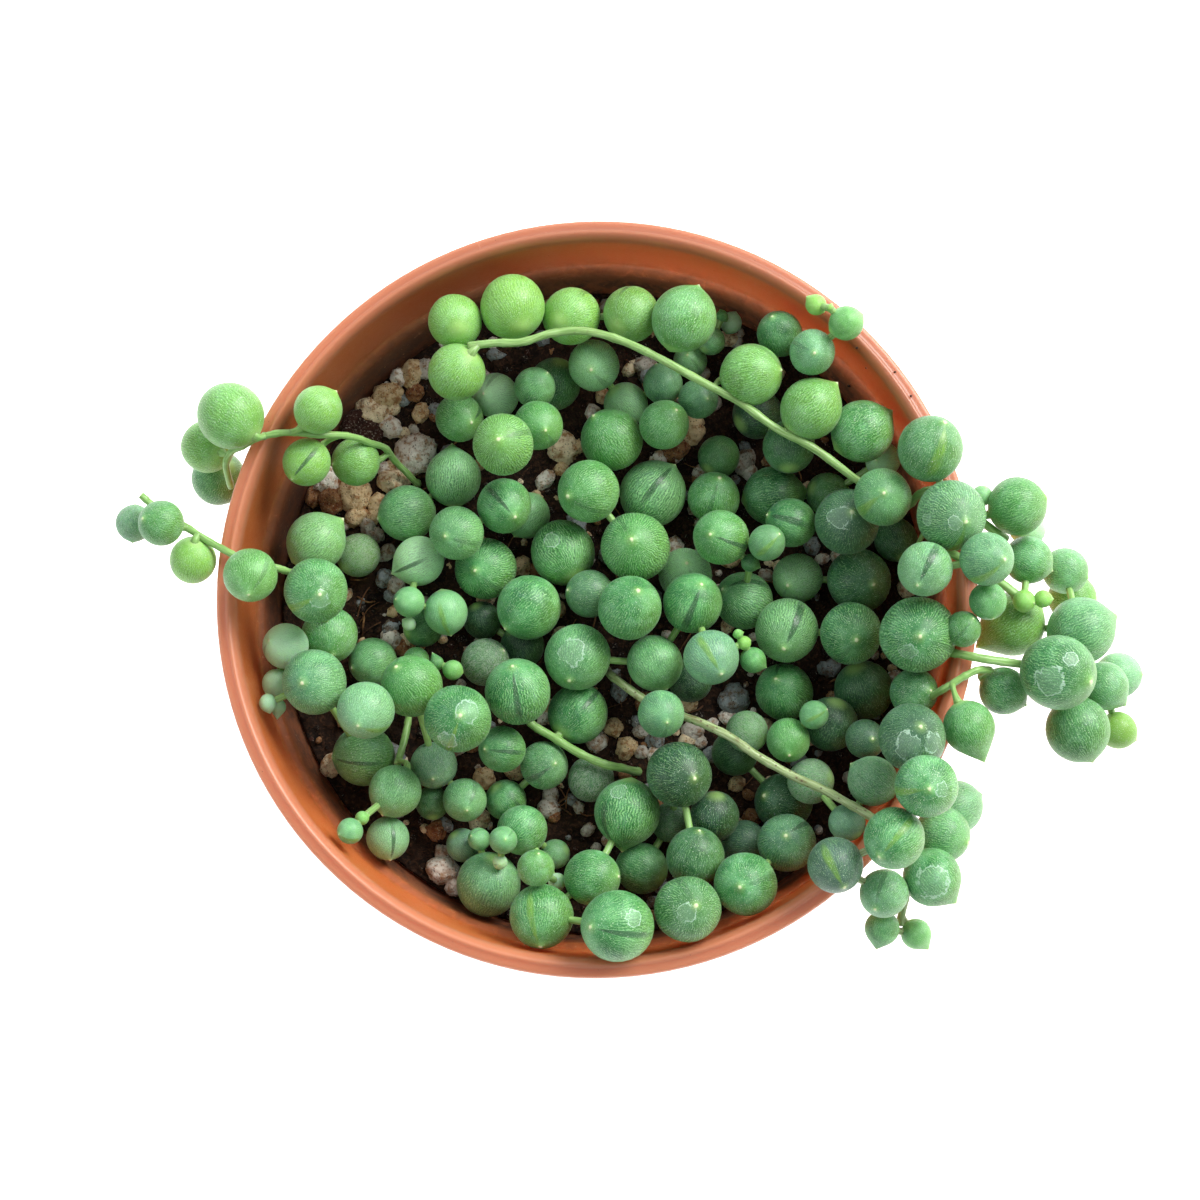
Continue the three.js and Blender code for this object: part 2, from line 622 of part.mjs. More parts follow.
// The shortest links that hold the string together: each pearl is joined to the nearest thing
// that is already on the string, a point of its stem or another pearl.
function linksOf(string) {
  const reached = string.path.map((point) => ({ point, sink: 0 }));
  const left = [...string.pearls];
  if (!reached.length) {
    const first = left.shift();
    reached.push({ point: first.centre, sink: first.radius });
  }
  const links = [];
  while (left.length) {
    let best = null;
    for (const pearl of left) {
      for (const from of reached) {
        const gap = pearl.centre.distanceTo(from.point) - pearl.radius - from.sink;
        if (!best || gap < best.gap) best = { gap, pearl, from };
      }
    }
    const radius = best.from.sink === 0 ? STALK_RADIUS : LINK_RADIUS;
    links.push({ from: best.from.point, to: best.pearl.centre, radius });
    reached.push({ point: best.pearl.centre, sink: best.pearl.radius });
    left.splice(left.indexOf(best.pearl), 1);
  }
  return links;
}

// Where the string goes into the mix: the end of its stem, or a foot under its first lying pearl.
function rootOf({ plan, path, pearls }) {
  const foot = [path[0], path.at(-1)].find((end) => end && end.z < POT_HEIGHT - MIX_DEPTH_BELOW_RIM - 2);
  if (foot) return { foot };
  const first = (plan.lying ?? plan.held)[0];
  const { centre } = pearls.find((pearl) => pearl.row === first);
  const across = centre.clone().setZ(0).clampLength(0, ROOT_REACH);
  return { from: centre, foot: across.setZ(mixTop(across.x, across.y) - ROOT_DEPTH) };
}

function makeString(string) {
  const solids = string.pearls.map(makePearl);
  if (string.route.length) solids.push(makeStem(string));
  for (const link of linksOf(string)) solids.push(rod(link.from, link.to, link.radius, LINK_SIDES));
  const { from, foot } = rootOf(string);
  if (from) {
    const neck = foot.clone().setZ(foot.z + ROOT_DEPTH + 1);
    const above = neck.clone().setZ(neck.z + 0.4);
    solids.push(rod(from, neck, STEM_RADIUS, STEM_SIDES), rod(above, foot, STEM_RADIUS, STEM_SIDES));
  }
  return geometryOf(joined(solids));
}

// ---------------------------------------------------------------- the object

function node(name, geometry, colour, roughness) {
  const material = new THREE.MeshStandardMaterial({ color: colour, roughness, metalness: 0 });
  const mesh = new THREE.Mesh(geometry, material);
  mesh.name = name;
  return mesh;
}

const plant = placePlant();
const allPearls = plant.flatMap((string) => string.pearls);
const allStems = plant.flatMap((string) => string.path);
const roots = plant.map((string) => rootOf(string).foot);

const object = new THREE.Group();
object.add(node('pot', makePot(), 0xb8683f, 0.55));
object.add(node('potting_mix', makeMix(allPearls, allStems, roots), 0x2c221b, 0.95));
for (const string of plant) object.add(node(string.name, makeString(string), 0x5f9a56, 0.45));

export default object;
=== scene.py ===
"""A potted string of pearls, dressed for rendering.

Lengths are in millimetres until a mesh is made, +Z up, from the middle of the pot's underside.
The round leaves are called pearls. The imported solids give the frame, and every piece here keeps
the place and size of the solid that it stands for.
"""

import bpy
import numpy as np
from mathutils import Matrix, Vector


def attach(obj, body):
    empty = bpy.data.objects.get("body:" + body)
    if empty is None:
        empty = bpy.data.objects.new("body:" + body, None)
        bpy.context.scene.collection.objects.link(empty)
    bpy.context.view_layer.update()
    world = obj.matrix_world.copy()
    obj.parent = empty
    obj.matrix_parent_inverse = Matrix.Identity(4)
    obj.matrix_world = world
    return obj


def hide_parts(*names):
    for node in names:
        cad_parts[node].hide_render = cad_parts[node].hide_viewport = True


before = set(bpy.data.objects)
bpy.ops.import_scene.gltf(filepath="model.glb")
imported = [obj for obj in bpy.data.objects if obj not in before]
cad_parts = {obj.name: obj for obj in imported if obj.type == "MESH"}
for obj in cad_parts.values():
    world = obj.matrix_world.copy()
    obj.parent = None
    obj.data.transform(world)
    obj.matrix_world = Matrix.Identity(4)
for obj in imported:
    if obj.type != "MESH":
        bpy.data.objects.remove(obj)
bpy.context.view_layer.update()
MM = 0.001

# ------------------------------------------------------------------ driving dimensions, as in the solids

POT_HEIGHT = 88
RIM_RADIUS = 52
RIM_LIP = 2.6
LIP_DROP = 3.6
COLLAR_HEIGHT = 12
COLLAR_TAPER = 1.2
COLLAR_STEP = 1.0
WALL = 1.3
BASE_RADIUS = 37.5
BASE_THICKNESS = 1.8
DRAIN_HOLES = 6
DRAIN_RADIUS = 3.5
DRAIN_CIRCLE = 27
STEP_TOP = POT_HEIGHT - COLLAR_HEIGHT

MIX_DEPTH_BELOW_RIM = 20
MIX_GAP = 0.35
MIX_SWELL = 0.6

STEM_RADIUS = 0.58
ROOT_DEPTH = 6
ROOT_REACH = 43
STEM_SPAN_STEPS = 3

TIP_LENGTH = 1.12
PEARL_GAP = 0.35
REST_GAP = 0.45
SOLID_STEM_RADIUS = 0.62
SETTLE_STEP = 0.1
SETTLE_TOP = 14

# ------------------------------------------------------------------ the view from above
# Places on the plant are given as they are seen in a square view of VIEW_SIZE units, from an eye
# above the pot. Heights are in mm above the rim.

VIEW_SIZE = 1200
VIEW_FOCUS = 3190
SENSOR_WIDTH = 36
EYE = np.array([25.0, -52.0, POT_HEIGHT + 430.0])
AIM = np.array([0.8, -0.9, POT_HEIGHT])


def unit(vectors):
    """Vectors brought to length 1 along their last axis."""
    return vectors / np.maximum(np.linalg.norm(vectors, axis=-1, keepdims=True), 1e-12)


AHEAD = unit(AIM - EYE)
RIGHT = unit(np.cross(AHEAD, [0, 1, 0]))
UPWARD = np.cross(RIGHT, AHEAD)


def seen_at(u, v, height):
    """The point that is seen at u, v and lies at a height above the rim: the sight line cut by that level."""
    ray = AHEAD * VIEW_FOCUS + RIGHT * (u - VIEW_SIZE / 2) + UPWARD * (VIEW_SIZE / 2 - v)
    return EYE + ray * ((POT_HEIGHT + height - EYE[2]) / ray[2])


# ------------------------------------------------------------------ the strings, as seen
# lying: pearls that rest in the heap, (u, v, radius, layer, tip u, tip v). held: pearls that the stem
# holds up, (u, v, radius, height, tip u, tip v, away), with away 1 where the tip points down from
# the eye. stem: (u, v, height) along the bare stem.

STRINGS = {
    "string_back_arch": {
        "stem": [(468, 346, 0.5), (495, 343, 0.6), (522, 342, 0.5), (553, 333, 0.3), (584, 331, 0.2),
            (617, 339, 0), (655, 356, 0), (706, 384, -0.2), (738, 401, -0.6), (776, 428, -1),
            (815, 449, -1.6), (857, 480, -4), (871, 487, -8), (876, 492, -14), (876, 493, -24)],
        "held": [(455, 321, 27, -2.6, 449, 309, 1), (513, 307, 32.5, -2.6, 502, 281, 1),
            (571, 316, 29, -5.4, 586, 306, 1), (631, 314, 28, -4.4, 648, 296, 1),
            (684, 319, 33, -1, 699, 285), (751, 375, 31, -1.5, 781, 371), (811, 409, 31, -1.5, 838, 382),
            (862, 431, 31, -4.6, 893, 410), (883, 497, 29, 1.6, 881, 494),
            (457, 372, 28.5, -1.6, 440, 392, 1)],
    },
    "string_back_tip": {
        "held": [(780, 334, 23, -5, 771, 318), (812, 352, 23, 0.4, 813, 355),
            (846, 323, 17.3, 3.4, 864, 314), (816, 305, 10.5, 2.6, 806, 296),
            (830, 308, 4, 4.6, 832, 303)],
    },
    "string_back_middle": {
        "lying": [(612, 440, 31, 1, 593, 416), (626, 404, 22, 0), (594, 365, 26, 1, 591, 372),
            (664, 425, 25, 1, 676, 411), (663, 384, 20, 1, 656, 364), (698, 399, 20, 1, 707, 400),
            (690, 361, 17, 1, 687, 356), (711, 341, 14, 1), (731, 323, 11, 1, 736, 311),
            (722, 316, 6, 1, 720, 309)],
    },
    "string_back_left": {
        "lying": [(555, 384, 26, 0), (535, 388, 20.5, 1, 548, 373), (496, 396, 23, 1, 484, 395),
            (538, 425, 25, 2, 546, 432), (459, 418, 24, 1, 473, 424), (503, 444, 31, 3, 499, 441)],
    },
    "string_left_middle": {
        "lying": [(453, 478, 28, 1, 452, 443), (407, 513, 28, 1, 378, 519), (527, 515, 23, 1, 514, 537),
            (504, 506, 27.5, 2, 516, 518), (457, 533, 27, 2, 446, 537), (419, 561, 25, 1, 391, 574),
            (486, 569, 31, 1, 476, 571), (423, 627, 20, 0), (446, 612, 22, 2, 451, 636),
            (409, 602, 15.5, 2, 396, 599), (409, 624, 7, 2, 402, 619)],
    },
    "string_middle": {
        "lying": [(563, 553, 32.5, 1), (589, 491, 31, 2, 567, 497), (653, 494, 33, 2, 675, 465),
            (590, 594, 24, 1, 567, 590), (635, 547, 34.5, 3, 631, 540), (630, 608, 32, 3, 638, 590),
            (685, 575, 27, 1, 686, 563)],
    },
    "string_middle_left": {
        "stem": [(639, 773, -24), (637, 772, -18), (622, 768, -14), (604, 764, -12.4), (579, 753, -12.6),
            (553, 737, -12.8), (532, 724, -12.6), (518, 705, -12.4)],
        "lying": [(482, 620, 19, 0), (485, 662, 24, 1, 505, 650), (522, 646, 22, 0),
            (529, 607, 32, 2, 505, 629), (518, 692, 33, 2, 513, 665), (578, 714, 30, 1)],
    },
    "string_middle_right": {
        "held": [(753, 660, 13, -6, 767, 668), (744, 643, 7, -4.6, 751, 640),
            (738, 634, 5, -4.2, 744, 632)],
        "lying": [(690, 680, 22, 0), (655, 663, 28, 2, 667, 689), (693, 603, 30, 2, 701, 584),
            (578, 657, 33, 3, 569, 681), (711, 657, 27.5, 3, 721, 674)],
    },
    "string_centre_right": {
        "held": [(750, 563, 9, -9, 761, 568)],
        "lying": [(719, 457, 21, 0), (714, 498, 26, 1, 719, 478), (721, 537, 28, 2, 709, 535),
            (744, 601, 29, 1, 721, 589), (767, 543, 18.5, 3, 779, 534)],
    },
    "string_back_right": {
        "lying": [(757, 414, 25, 0), (789, 447, 26.5, 1), (773, 496, 30, 0, 809, 490),
            (791, 523, 25, 2, 766, 515), (828, 494, 22, 1), (847, 522, 33, 2, 849, 513),
            (883, 460, 18, 1, 874, 461)],
    },
    "string_right": {
        "lying": [(798, 578, 25, 1, 786, 586), (859, 580, 32, 1, 871, 585), (787, 630, 32, 2, 782, 649),
            (851, 633, 31, 2, 854, 640)],
    },
    "string_right_low": {
        "lying": [(864, 690, 29.5, 0), (831, 724, 27, 0), (784, 692, 29, 1, 774, 678),
            (814, 715, 14.5, 3, 827, 709), (788, 740, 22, 2, 788, 755), (865, 739, 20, 1, 871, 738)],
    },
    "string_over_right_back": {
        "stem": [(898, 509, -24), (902, 509, -14), (911, 503, -4), (920, 494, 0.4), (936, 490, 0.9),
            (960, 500, 0.7), (984, 523, 0.2), (1006, 539, -2.5)],
        "held": [(930, 449, 33, 5.4, 943, 423), (951, 515, 35, 5.6, 962, 523),
            (1017, 506, 29, 1, 1046, 497), (982, 496, 10.5, 0, 985, 487), (1028, 530, 17, -9, 1046, 524)],
    },
    "string_over_right_young": {
        "stem": [(926, 530, -6), (938, 545, -0.6), (947, 551, 0.7), (960, 558, 0.9), (976, 570, 0.8),
            (1000, 582, -1), (1016, 594, -1.5), (1030, 600, -1.5), (1043, 600, -1.5)],
        "held": [(987, 559, 27, 8.8, 1002, 560), (988, 601, 18.8, 4.2, 992, 619),
            (1024, 601, 11.5, -1, 1033, 603), (1043, 599, 9, -1, 1054, 599),
            (1028, 560, 24, -3.5, 1053, 571)],
        "lying": [(896, 540, 22, 0), (925, 569, 27.5, 3, 915, 586)],
    },
    "string_over_right": {
        "stem": [(901, 656, -24), (901, 655, -17), (910, 653, -10), (928, 652, -5), (942, 652, -1.8),
            (950, 653, -0.4), (959, 654, 0.8), (985, 659, 0.9), (1020, 664, -1), (1050, 668, -5),
            (1072, 660, -9), (1092, 672, -12)],
        "held": [(1058, 672, 38, 1.5, 1087, 682), (1081, 631, 33.5, -5, 1118, 615),
            (1078, 729, 32.3, -6, 1092, 762), (1104, 686, 24.5, -9, 1127, 706),
            (1118, 675, 23.3, -15, 1141, 674), (1118, 730, 18.8, -12, 1137, 741),
            (1065, 571, 23, -12, 1087, 578), (1072, 598, 24, -18, 1095, 603),
            (1013, 624, 32, -7, 975, 648), (963, 629, 18, 3.4, 972, 618),
            (918, 635, 38.5, 1.3, 916, 636)],
    },
    "string_over_right_low": {
        "stem": [(918, 700, -5), (930, 697, -2), (942, 690, 0.2), (952, 684, 0.9), (965, 676, 0.9),
            (978, 670, 0.5), (990, 670, -1)],
        "held": [(914, 692, 24.2, -3.8, 929, 690), (1003, 691, 24, -4, 1027, 706),
            (969, 727, 26.5, 3.3, 985, 763)],
    },
    "string_old": {
        "stem": [(606, 668, -24), (607, 670, -18), (612, 676, -13), (642, 698, -10), (662, 708, -8.5),
            (685, 717, -6.5), (704, 724, -5.4), (732, 738, -4.6), (756, 755, -4), (793, 776, -3.4),
            (824, 790, -2.6), (851, 805, -0.6), (868, 815, 0.6), (890, 828, 1), (905, 843, -0.6),
            (912, 862, -4.5), (908, 885, -7), (902, 912, -8.5), (901, 926, -8.5)],
        "held": [(661, 714, 23.5, -4, 667, 722), (894, 838, 31, 8.6, 877, 855),
            (926, 786, 32, 11.4, 926, 787), (912, 737, 34.3, 7, 917, 725), (942, 834, 28, -5.5, 967, 842),
            (955, 807, 27, -9.5, 983, 794), (932, 877, 29.3, -1.5, 957, 904),
            (884, 893, 24.5, 0.5, 873, 908), (882, 928, 17.3, -6, 876, 950),
            (916, 934, 15.3, -9, 929, 950), (835, 865, 28, 5, 843, 886)],
    },
    "string_front_right_deep": {
        "lying": [(784, 802, 29, 0, 762, 794), (735, 753, 23, 0), (747, 732, 21, 1), (811, 781, 23, 2),
            (873, 781, 25, 2, 850, 763), (847, 823, 18.5, 1)],
    },
    "string_front_right": {
        "lying": [(745, 843, 23, 0), (714, 816, 25, 0), (787, 843, 29, 1, 784, 833),
            (746, 884, 32, 2, 738, 884)],
    },
    "string_front_middle": {
        "lying": [(679, 774, 33, 1, 694, 777), (671, 822, 20, 0), (695, 857, 29.5, 1, 699, 829),
            (642, 868, 26, 1), (688, 909, 33.5, 3, 695, 902)],
    },
    "string_front": {
        "lying": [(592, 878, 28, 1, 619, 875), (627, 812, 33, 2, 622, 853), (591, 779, 23, 0),
            (618, 926, 36.5, 3, 590, 924), (541, 916, 32, 2, 541, 945)],
    },
    "string_front_left": {
        "held": [(557, 882, 9, -9.5, 562, 875)],
        "lying": [(522, 830, 25, 1), (506, 800, 20.5, 0), (544, 765, 24, 1, 556, 762),
            (502, 749, 23.5, 1, 485, 748), (536, 868, 18.5, 2, 539, 852), (555, 854, 15, 1)],
    },
    "string_front_young": {
        "lying": [(488, 884, 32, 1), (463, 845, 17, 0), (479, 839, 11.5, 2, 471, 835),
            (503, 840, 14, 3, 506, 838), (500, 862, 7.5, 3, 500, 864)],
    },
    "string_left_low": {
        "stem": [(409, 710, -24), (409, 711, -17.5), (408, 722, -16), (405, 737, -15), (401, 752, -14),
            (397, 765, -13.5)],
        "held": [(362, 818, 7, -5, 370, 815)],
        "lying": [(395, 791, 26, 2, 383, 815), (388, 838, 21.5, 1, 391, 860),
            (350, 831, 13, 2, 339, 834)],
    },
    "string_left_front": {
        "held": [(453, 670, 10, -8, 442, 667), (437, 663, 7, -8.5, 432, 652)],
        "lying": [(434, 765, 23.5, 1, 434, 778), (432, 803, 17, 0), (465, 800, 22, 1, 468, 809),
            (458, 719, 34, 3, 462, 714), (412, 686, 31, 2, 397, 666), (373, 662, 24, 1, 352, 668),
            (416, 660, 13, 0)],
    },
    "string_left": {
        "lying": [(364, 756, 30.5, 1, 332, 757), (366, 710, 29, 2, 360, 725),
            (314, 682, 32.5, 3, 305, 682), (286, 646, 23, 2, 271, 640), (276, 683, 14, 1, 266, 693),
            (268, 703, 9, 1, 270, 714), (278, 707, 8, 1, 277, 720)],
    },
    "string_over_left": {
        "stem": [(296, 574, -3), (286, 571, -1), (277, 568, 0.6), (262, 565, 1), (244, 560, 1),
            (230, 553, 1), (205, 539, 0.8), (183, 525, 0.6), (165, 514, 1), (150, 503, 2),
            (141, 495, 2.6)],
        "held": [(250, 575, 26.8, 5.6, 251, 595), (193, 560, 23.5, -1, 189, 581, 1),
            (161, 523, 22.8, 3.6, 145, 519), (134, 523, 18.3, -2, 133, 543)],
        "lying": [(330, 635, 28.2, 1, 334, 656), (316, 591, 32, 3, 323, 595),
            (316, 542, 29.5, 2, 344, 518), (358, 555, 22, 0)],
    },
    "string_over_left_back": {
        "stem": [(421, 487, -24), (418, 485, -18.5), (408, 474, -17), (395, 461, -14), (385, 448, -10.5),
            (370, 443, -7.5), (357, 438, -5), (340, 435, -2.6), (318, 435, -0.6), (300, 433, 0.6),
            (280, 433, 1), (258, 438, 1), (243, 446, -0.4), (231, 452, -1.4), (226, 463, -3),
            (228, 476, -5), (231, 487, -7)],
        "held": [(318, 410, 24.2, 2.4, 337, 391), (307, 462, 24, -2.5, 293, 480),
            (356, 462, 24, -9.4, 333, 465), (231, 416, 33.5, 2.6, 203, 393, 1),
            (208, 447, 26.7, -6, 190, 440, 1), (219, 478, 27, -14, 208, 492, 1)],
    },
}

# ------------------------------------------------------------------ how single pearls look
# Each is named by the u, v that STRINGS gives it.

# The clear window in a pearl's skin, by kind: (u, v): (where it leads: u, v, half-width as a share
# of the radius). A grey window is dark and glassy, and a yellow one is a lit yellow-green wedge.
WINDOWS = {
    "grey": {
        (459, 418): (480, 410, 0.11), (504, 506): (490, 490, 0.08), (419, 561): (440, 552, 0.07),
        (653, 494): (636, 512, 0.08), (791, 523): (812, 528, 0.12), (784, 692): (776, 672, 0.1),
        (864, 690): (870, 668, 0.2), (925, 569): (932, 552, 0.12), (787, 630): (800, 606, 0.11),
        (518, 692): (520, 712, 0.07), (502, 749): (512, 751, 0.08), (506, 800): (518, 803, 0.08),
        (627, 812): (604, 806, 0.08), (364, 756): (366, 762, 0.05), (618, 926): (640, 932, 0.07),
        (787, 843): (796, 826, 0.1), (631, 314): (620, 296, 0.07), (721, 537): (740, 546, 0.07),
        (693, 603): (686, 622, 0.1), (744, 601): (766, 586, 0.1), (388, 838): (394, 826, 0.08),
        (307, 462): (318, 450, 0.07), (544, 765): (532, 778, 0.11), (578, 714): (590, 700, 0.07),
    },
    "yellow": {
        (930, 449): (926, 478, 0.16), (883, 497): (862, 510, 0.16), (951, 515): (958, 540, 0.12),
        (987, 559): (976, 580, 0.14), (926, 786): (905, 790, 0.12), (835, 865): (822, 846, 0.14),
        (366, 710): (378, 730, 0.16), (316, 591): (300, 606, 0.12), (446, 612): (440, 600, 0.12),
        (767, 543): (756, 556, 0.14), (711, 657): (700, 640, 0.12), (541, 916): (530, 900, 0.1),
        (458, 719): (452, 742, 0.08), (894, 838): (906, 822, 0.1), (814, 715): (802, 722, 0.12),
        (350, 831): (360, 838, 0.14),
    },
}

WINDOW_OF = {key: (*spec, kind) for kind, found in WINDOWS.items() for key, spec in found.items()}
WINDOW_STRENGTH = {"grey": 1.0, "yellow": 0.9, "faint": 0.45}

# Pearls with a strong pattern of fine streaks that run to the tip.
STREAKY = {
    (503, 444), (635, 547), (918, 635), (851, 633), (951, 515), (679, 774), (486, 569), (685, 575),
    (744, 601), (653, 494), (563, 553), (787, 630), (453, 478), (627, 812), (518, 692), (688, 909),
}

# Young pearls, from 0 for grown to 1 for the youngest.
YOUNG = {
    (409, 602): 0.7, (409, 624): 0.9, (446, 612): 0.5, (479, 839): 0.6, (503, 840): 0.6,
    (500, 862): 0.95, (350, 831): 0.7, (362, 818): 0.9, (276, 683): 0.4, (268, 703): 0.4,
    (278, 707): 0.3, (286, 646): 0.4, (453, 670): 0.5, (437, 663): 0.7, (753, 660): 0.4, (744, 643): 1,
    (738, 634): 1, (767, 543): 0.3, (814, 715): 0.5, (788, 740): 0.2, (816, 305): 0.9, (846, 323): 0.6,
    (830, 308): 1, (1024, 601): 0.9, (1043, 599): 1, (988, 601): 0.4, (1118, 730): 0.8,
    (916, 934): 0.5, (731, 323): 0.3, (722, 316): 0.4, (455, 321): 0.3, (513, 307): 0.3,
    (571, 316): 0.2, (231, 416): 0.25, (318, 410): 0.3, (193, 560): 0.4, (557, 882): 0.3,
    (982, 496): 0.3, (307, 462): 0.2, (250, 575): 0.2,
}

# Painted shading: pearls deep in the heap are painted darker, above 0, as painted shade, and
# pearls that stand in brighter light are painted paler, below 0, as painted light.
PAINTED_SHADING = {
    (714, 816): 1.3, (831, 724): 1.1, (522, 646): 1.4, (757, 414): 1.3, (847, 522): 1, (735, 753): 1,
    (784, 802): 1, (482, 620): 1.3, (690, 680): 1.4, (864, 690): 0.9, (865, 739): 1.1, (679, 774): 1.1,
    (789, 447): 0.8, (859, 580): 0.8, (896, 540): 0.8, (695, 857): 0.8, (555, 384): 0.7,
    (745, 843): 1.1, (671, 822): 0.7, (835, 865): 1.5, (591, 779): 0.7, (719, 457): 0.6,
    (423, 627): 0.6, (432, 803): 0.6, (912, 737): 1, (437, 663): 0.6, (485, 662): 0.8, (773, 496): 0.5,
    (828, 494): 0.2, (463, 845): 0.5, (847, 823): 0.5, (1013, 624): 0.5, (698, 399): 0.5,
    (750, 563): 0.5, (688, 909): 0.5, (590, 594): 0.8, (642, 868): 0.4, (663, 384): 0.4,
    (767, 543): 0.4, (787, 843): 0.4, (780, 334): 0.4, (930, 449): 0.4, (951, 515): 0.4,
    (914, 692): 0.4, (1078, 729): 0.4, (851, 633): 0.3, (219, 478): 0.3, (791, 523): 0.3,
    (664, 425): 0.3, (1058, 672): 0.3, (1003, 691): 0.3, (502, 749): 0.3, (1118, 730): 1,
    (987, 559): 0.2, (963, 629): 0.2, (882, 928): -0.2, (578, 657): -0.2, (883, 460): -1.5,
    (744, 601): -0.3, (942, 834): -0.3, (457, 533): -0.3, (535, 388): -0.3, (373, 662): -0.3,
    (407, 513): -0.3, (747, 732): -0.3, (916, 934): -0.3, (364, 756): -0.3, (655, 663): -0.3,
    (711, 341): -0.3, (798, 578): -0.8, (1065, 571): -0.4, (811, 781): -0.4, (690, 361): -0.7,
    (395, 791): -0.4, (500, 862): -1.6, (366, 710): -0.5, (1028, 530): -1.6, (653, 494): -0.5,
    (787, 630): -0.5, (685, 575): -1.3, (925, 569): -0.1, (955, 807): -0.6, (316, 542): -0.6,
    (409, 624): -1.8, (555, 854): -0.6, (453, 478): -0.6, (278, 707): -1.7, (731, 323): -1.7,
    (1118, 675): -0.7, (388, 838): -0.7, (527, 515): -0.7, (626, 404): -1.2, (982, 496): -0.8,
    (594, 365): -1, (276, 683): -2, (286, 646): -2, (419, 561): -1.5, (496, 396): -1.6,
    (557, 882): -1.8, (631, 314): 0.5, (358, 555): 0.4, (268, 703): -1.5,
}

# Old pearls, dull or wrinkled, from 0 to 1.
DULL = {
    (358, 555): 0.9, (485, 662): 0.8, (591, 779): 0.9, (747, 732): 0.7, (811, 781): 0.8,
    (873, 781): 0.4, (671, 822): 0.4, (798, 578): 0.3, (544, 765): 0.3, (134, 523): 0.4,
    (434, 765): 0.3,
}

# Yellow-green pearls, from 0 to 1.
MELLOW = {
    (455, 321): 0.9, (513, 307): 1, (571, 316): 0.9, (631, 314): 0.7, (457, 372): 0.9, (751, 375): 0.6,
    (811, 409): 0.5, (862, 431): 0.1, (684, 319): 0.3, (231, 416): 0.6, (318, 410): 0.9,
    (307, 462): 0.9, (356, 462): 0.7, (193, 560): 1, (208, 447): 0.8, (1072, 598): 0.6, (1043, 599): 1,
    (1118, 730): 0.9, (830, 308): 1, (816, 305): 1, (1024, 601): 0.9, (738, 634): 0.4, (744, 643): 0.9,
    (500, 862): 1, (362, 818): 0.5, (846, 323): 0.2, (1028, 530): 0.6, (503, 444): 0.6,
    (409, 624): 0.9, (358, 555): 0.7, (1013, 624): 0.6, (316, 542): 0.3, (453, 670): 0.3,
    (250, 575): 0.3, (925, 569): 0.2, (536, 868): 0.3,
}

# Blue-green pearls under more bloom, from 0 to 1.
BLUE = {
    (446, 612): 0.6, (409, 602): 0.5, (503, 840): 0.5, (268, 703): 1, (276, 683): 1, (711, 657): 1,
    (350, 831): 0.5, (479, 839): 0.5, (951, 515): 0.4, (1118, 675): 0.6, (847, 823): 1, (835, 865): 1,
    (434, 765): 0.8, (884, 893): 0.5, (787, 843): 0.4, (873, 781): 0.4, (812, 352): 0.4,
    (134, 523): 0.6, (465, 800): 0.4, (661, 714): 0.5, (590, 594): 0.4, (814, 715): 0.4,
    (388, 838): 0.5, (366, 710): 0.4, (955, 807): 0.4, (286, 646): 0.4, (314, 682): 0.4,
    (987, 559): 0.4, (1104, 686): 0.4, (463, 845): 1, (865, 739): 0.4, (745, 843): 0.8,
    (847, 522): 0.4, (663, 384): 0.5, (488, 884): 0.5, (925, 569): 0.5, (698, 399): 0.4,
    (767, 543): 0.4, (883, 497): 0.3, (1081, 631): 0.4, (912, 737): 0.3, (278, 707): 0.5,
}

# Dried water rings: (pearl's u, v): [(u, v of the ring, its radius), ...], at most two to a pearl.
RINGS = {
    (316, 591): [(323, 600, 9)], (458, 719): [(449, 740, 10), (469, 710, 11)], (578, 657): [(572, 650, 13)],
    (627, 812): [(618, 790, 8)], (847, 522): [(838, 518, 11)], (951, 515): [(924, 520, 6), (951, 523, 6.5)],
    (912, 737): [(905, 745, 13), (929, 742, 10)], (926, 786): [(939, 788, 7)], (932, 877): [(930, 880, 15)],
    (1058, 672): [(1045, 681, 14), (1066, 658, 7)], (688, 909): [(685, 910, 9)], (918, 635): [(905, 651, 8)],
    (618, 926): [(634, 914, 8)], (563, 553): [(552, 540, 8)],
}

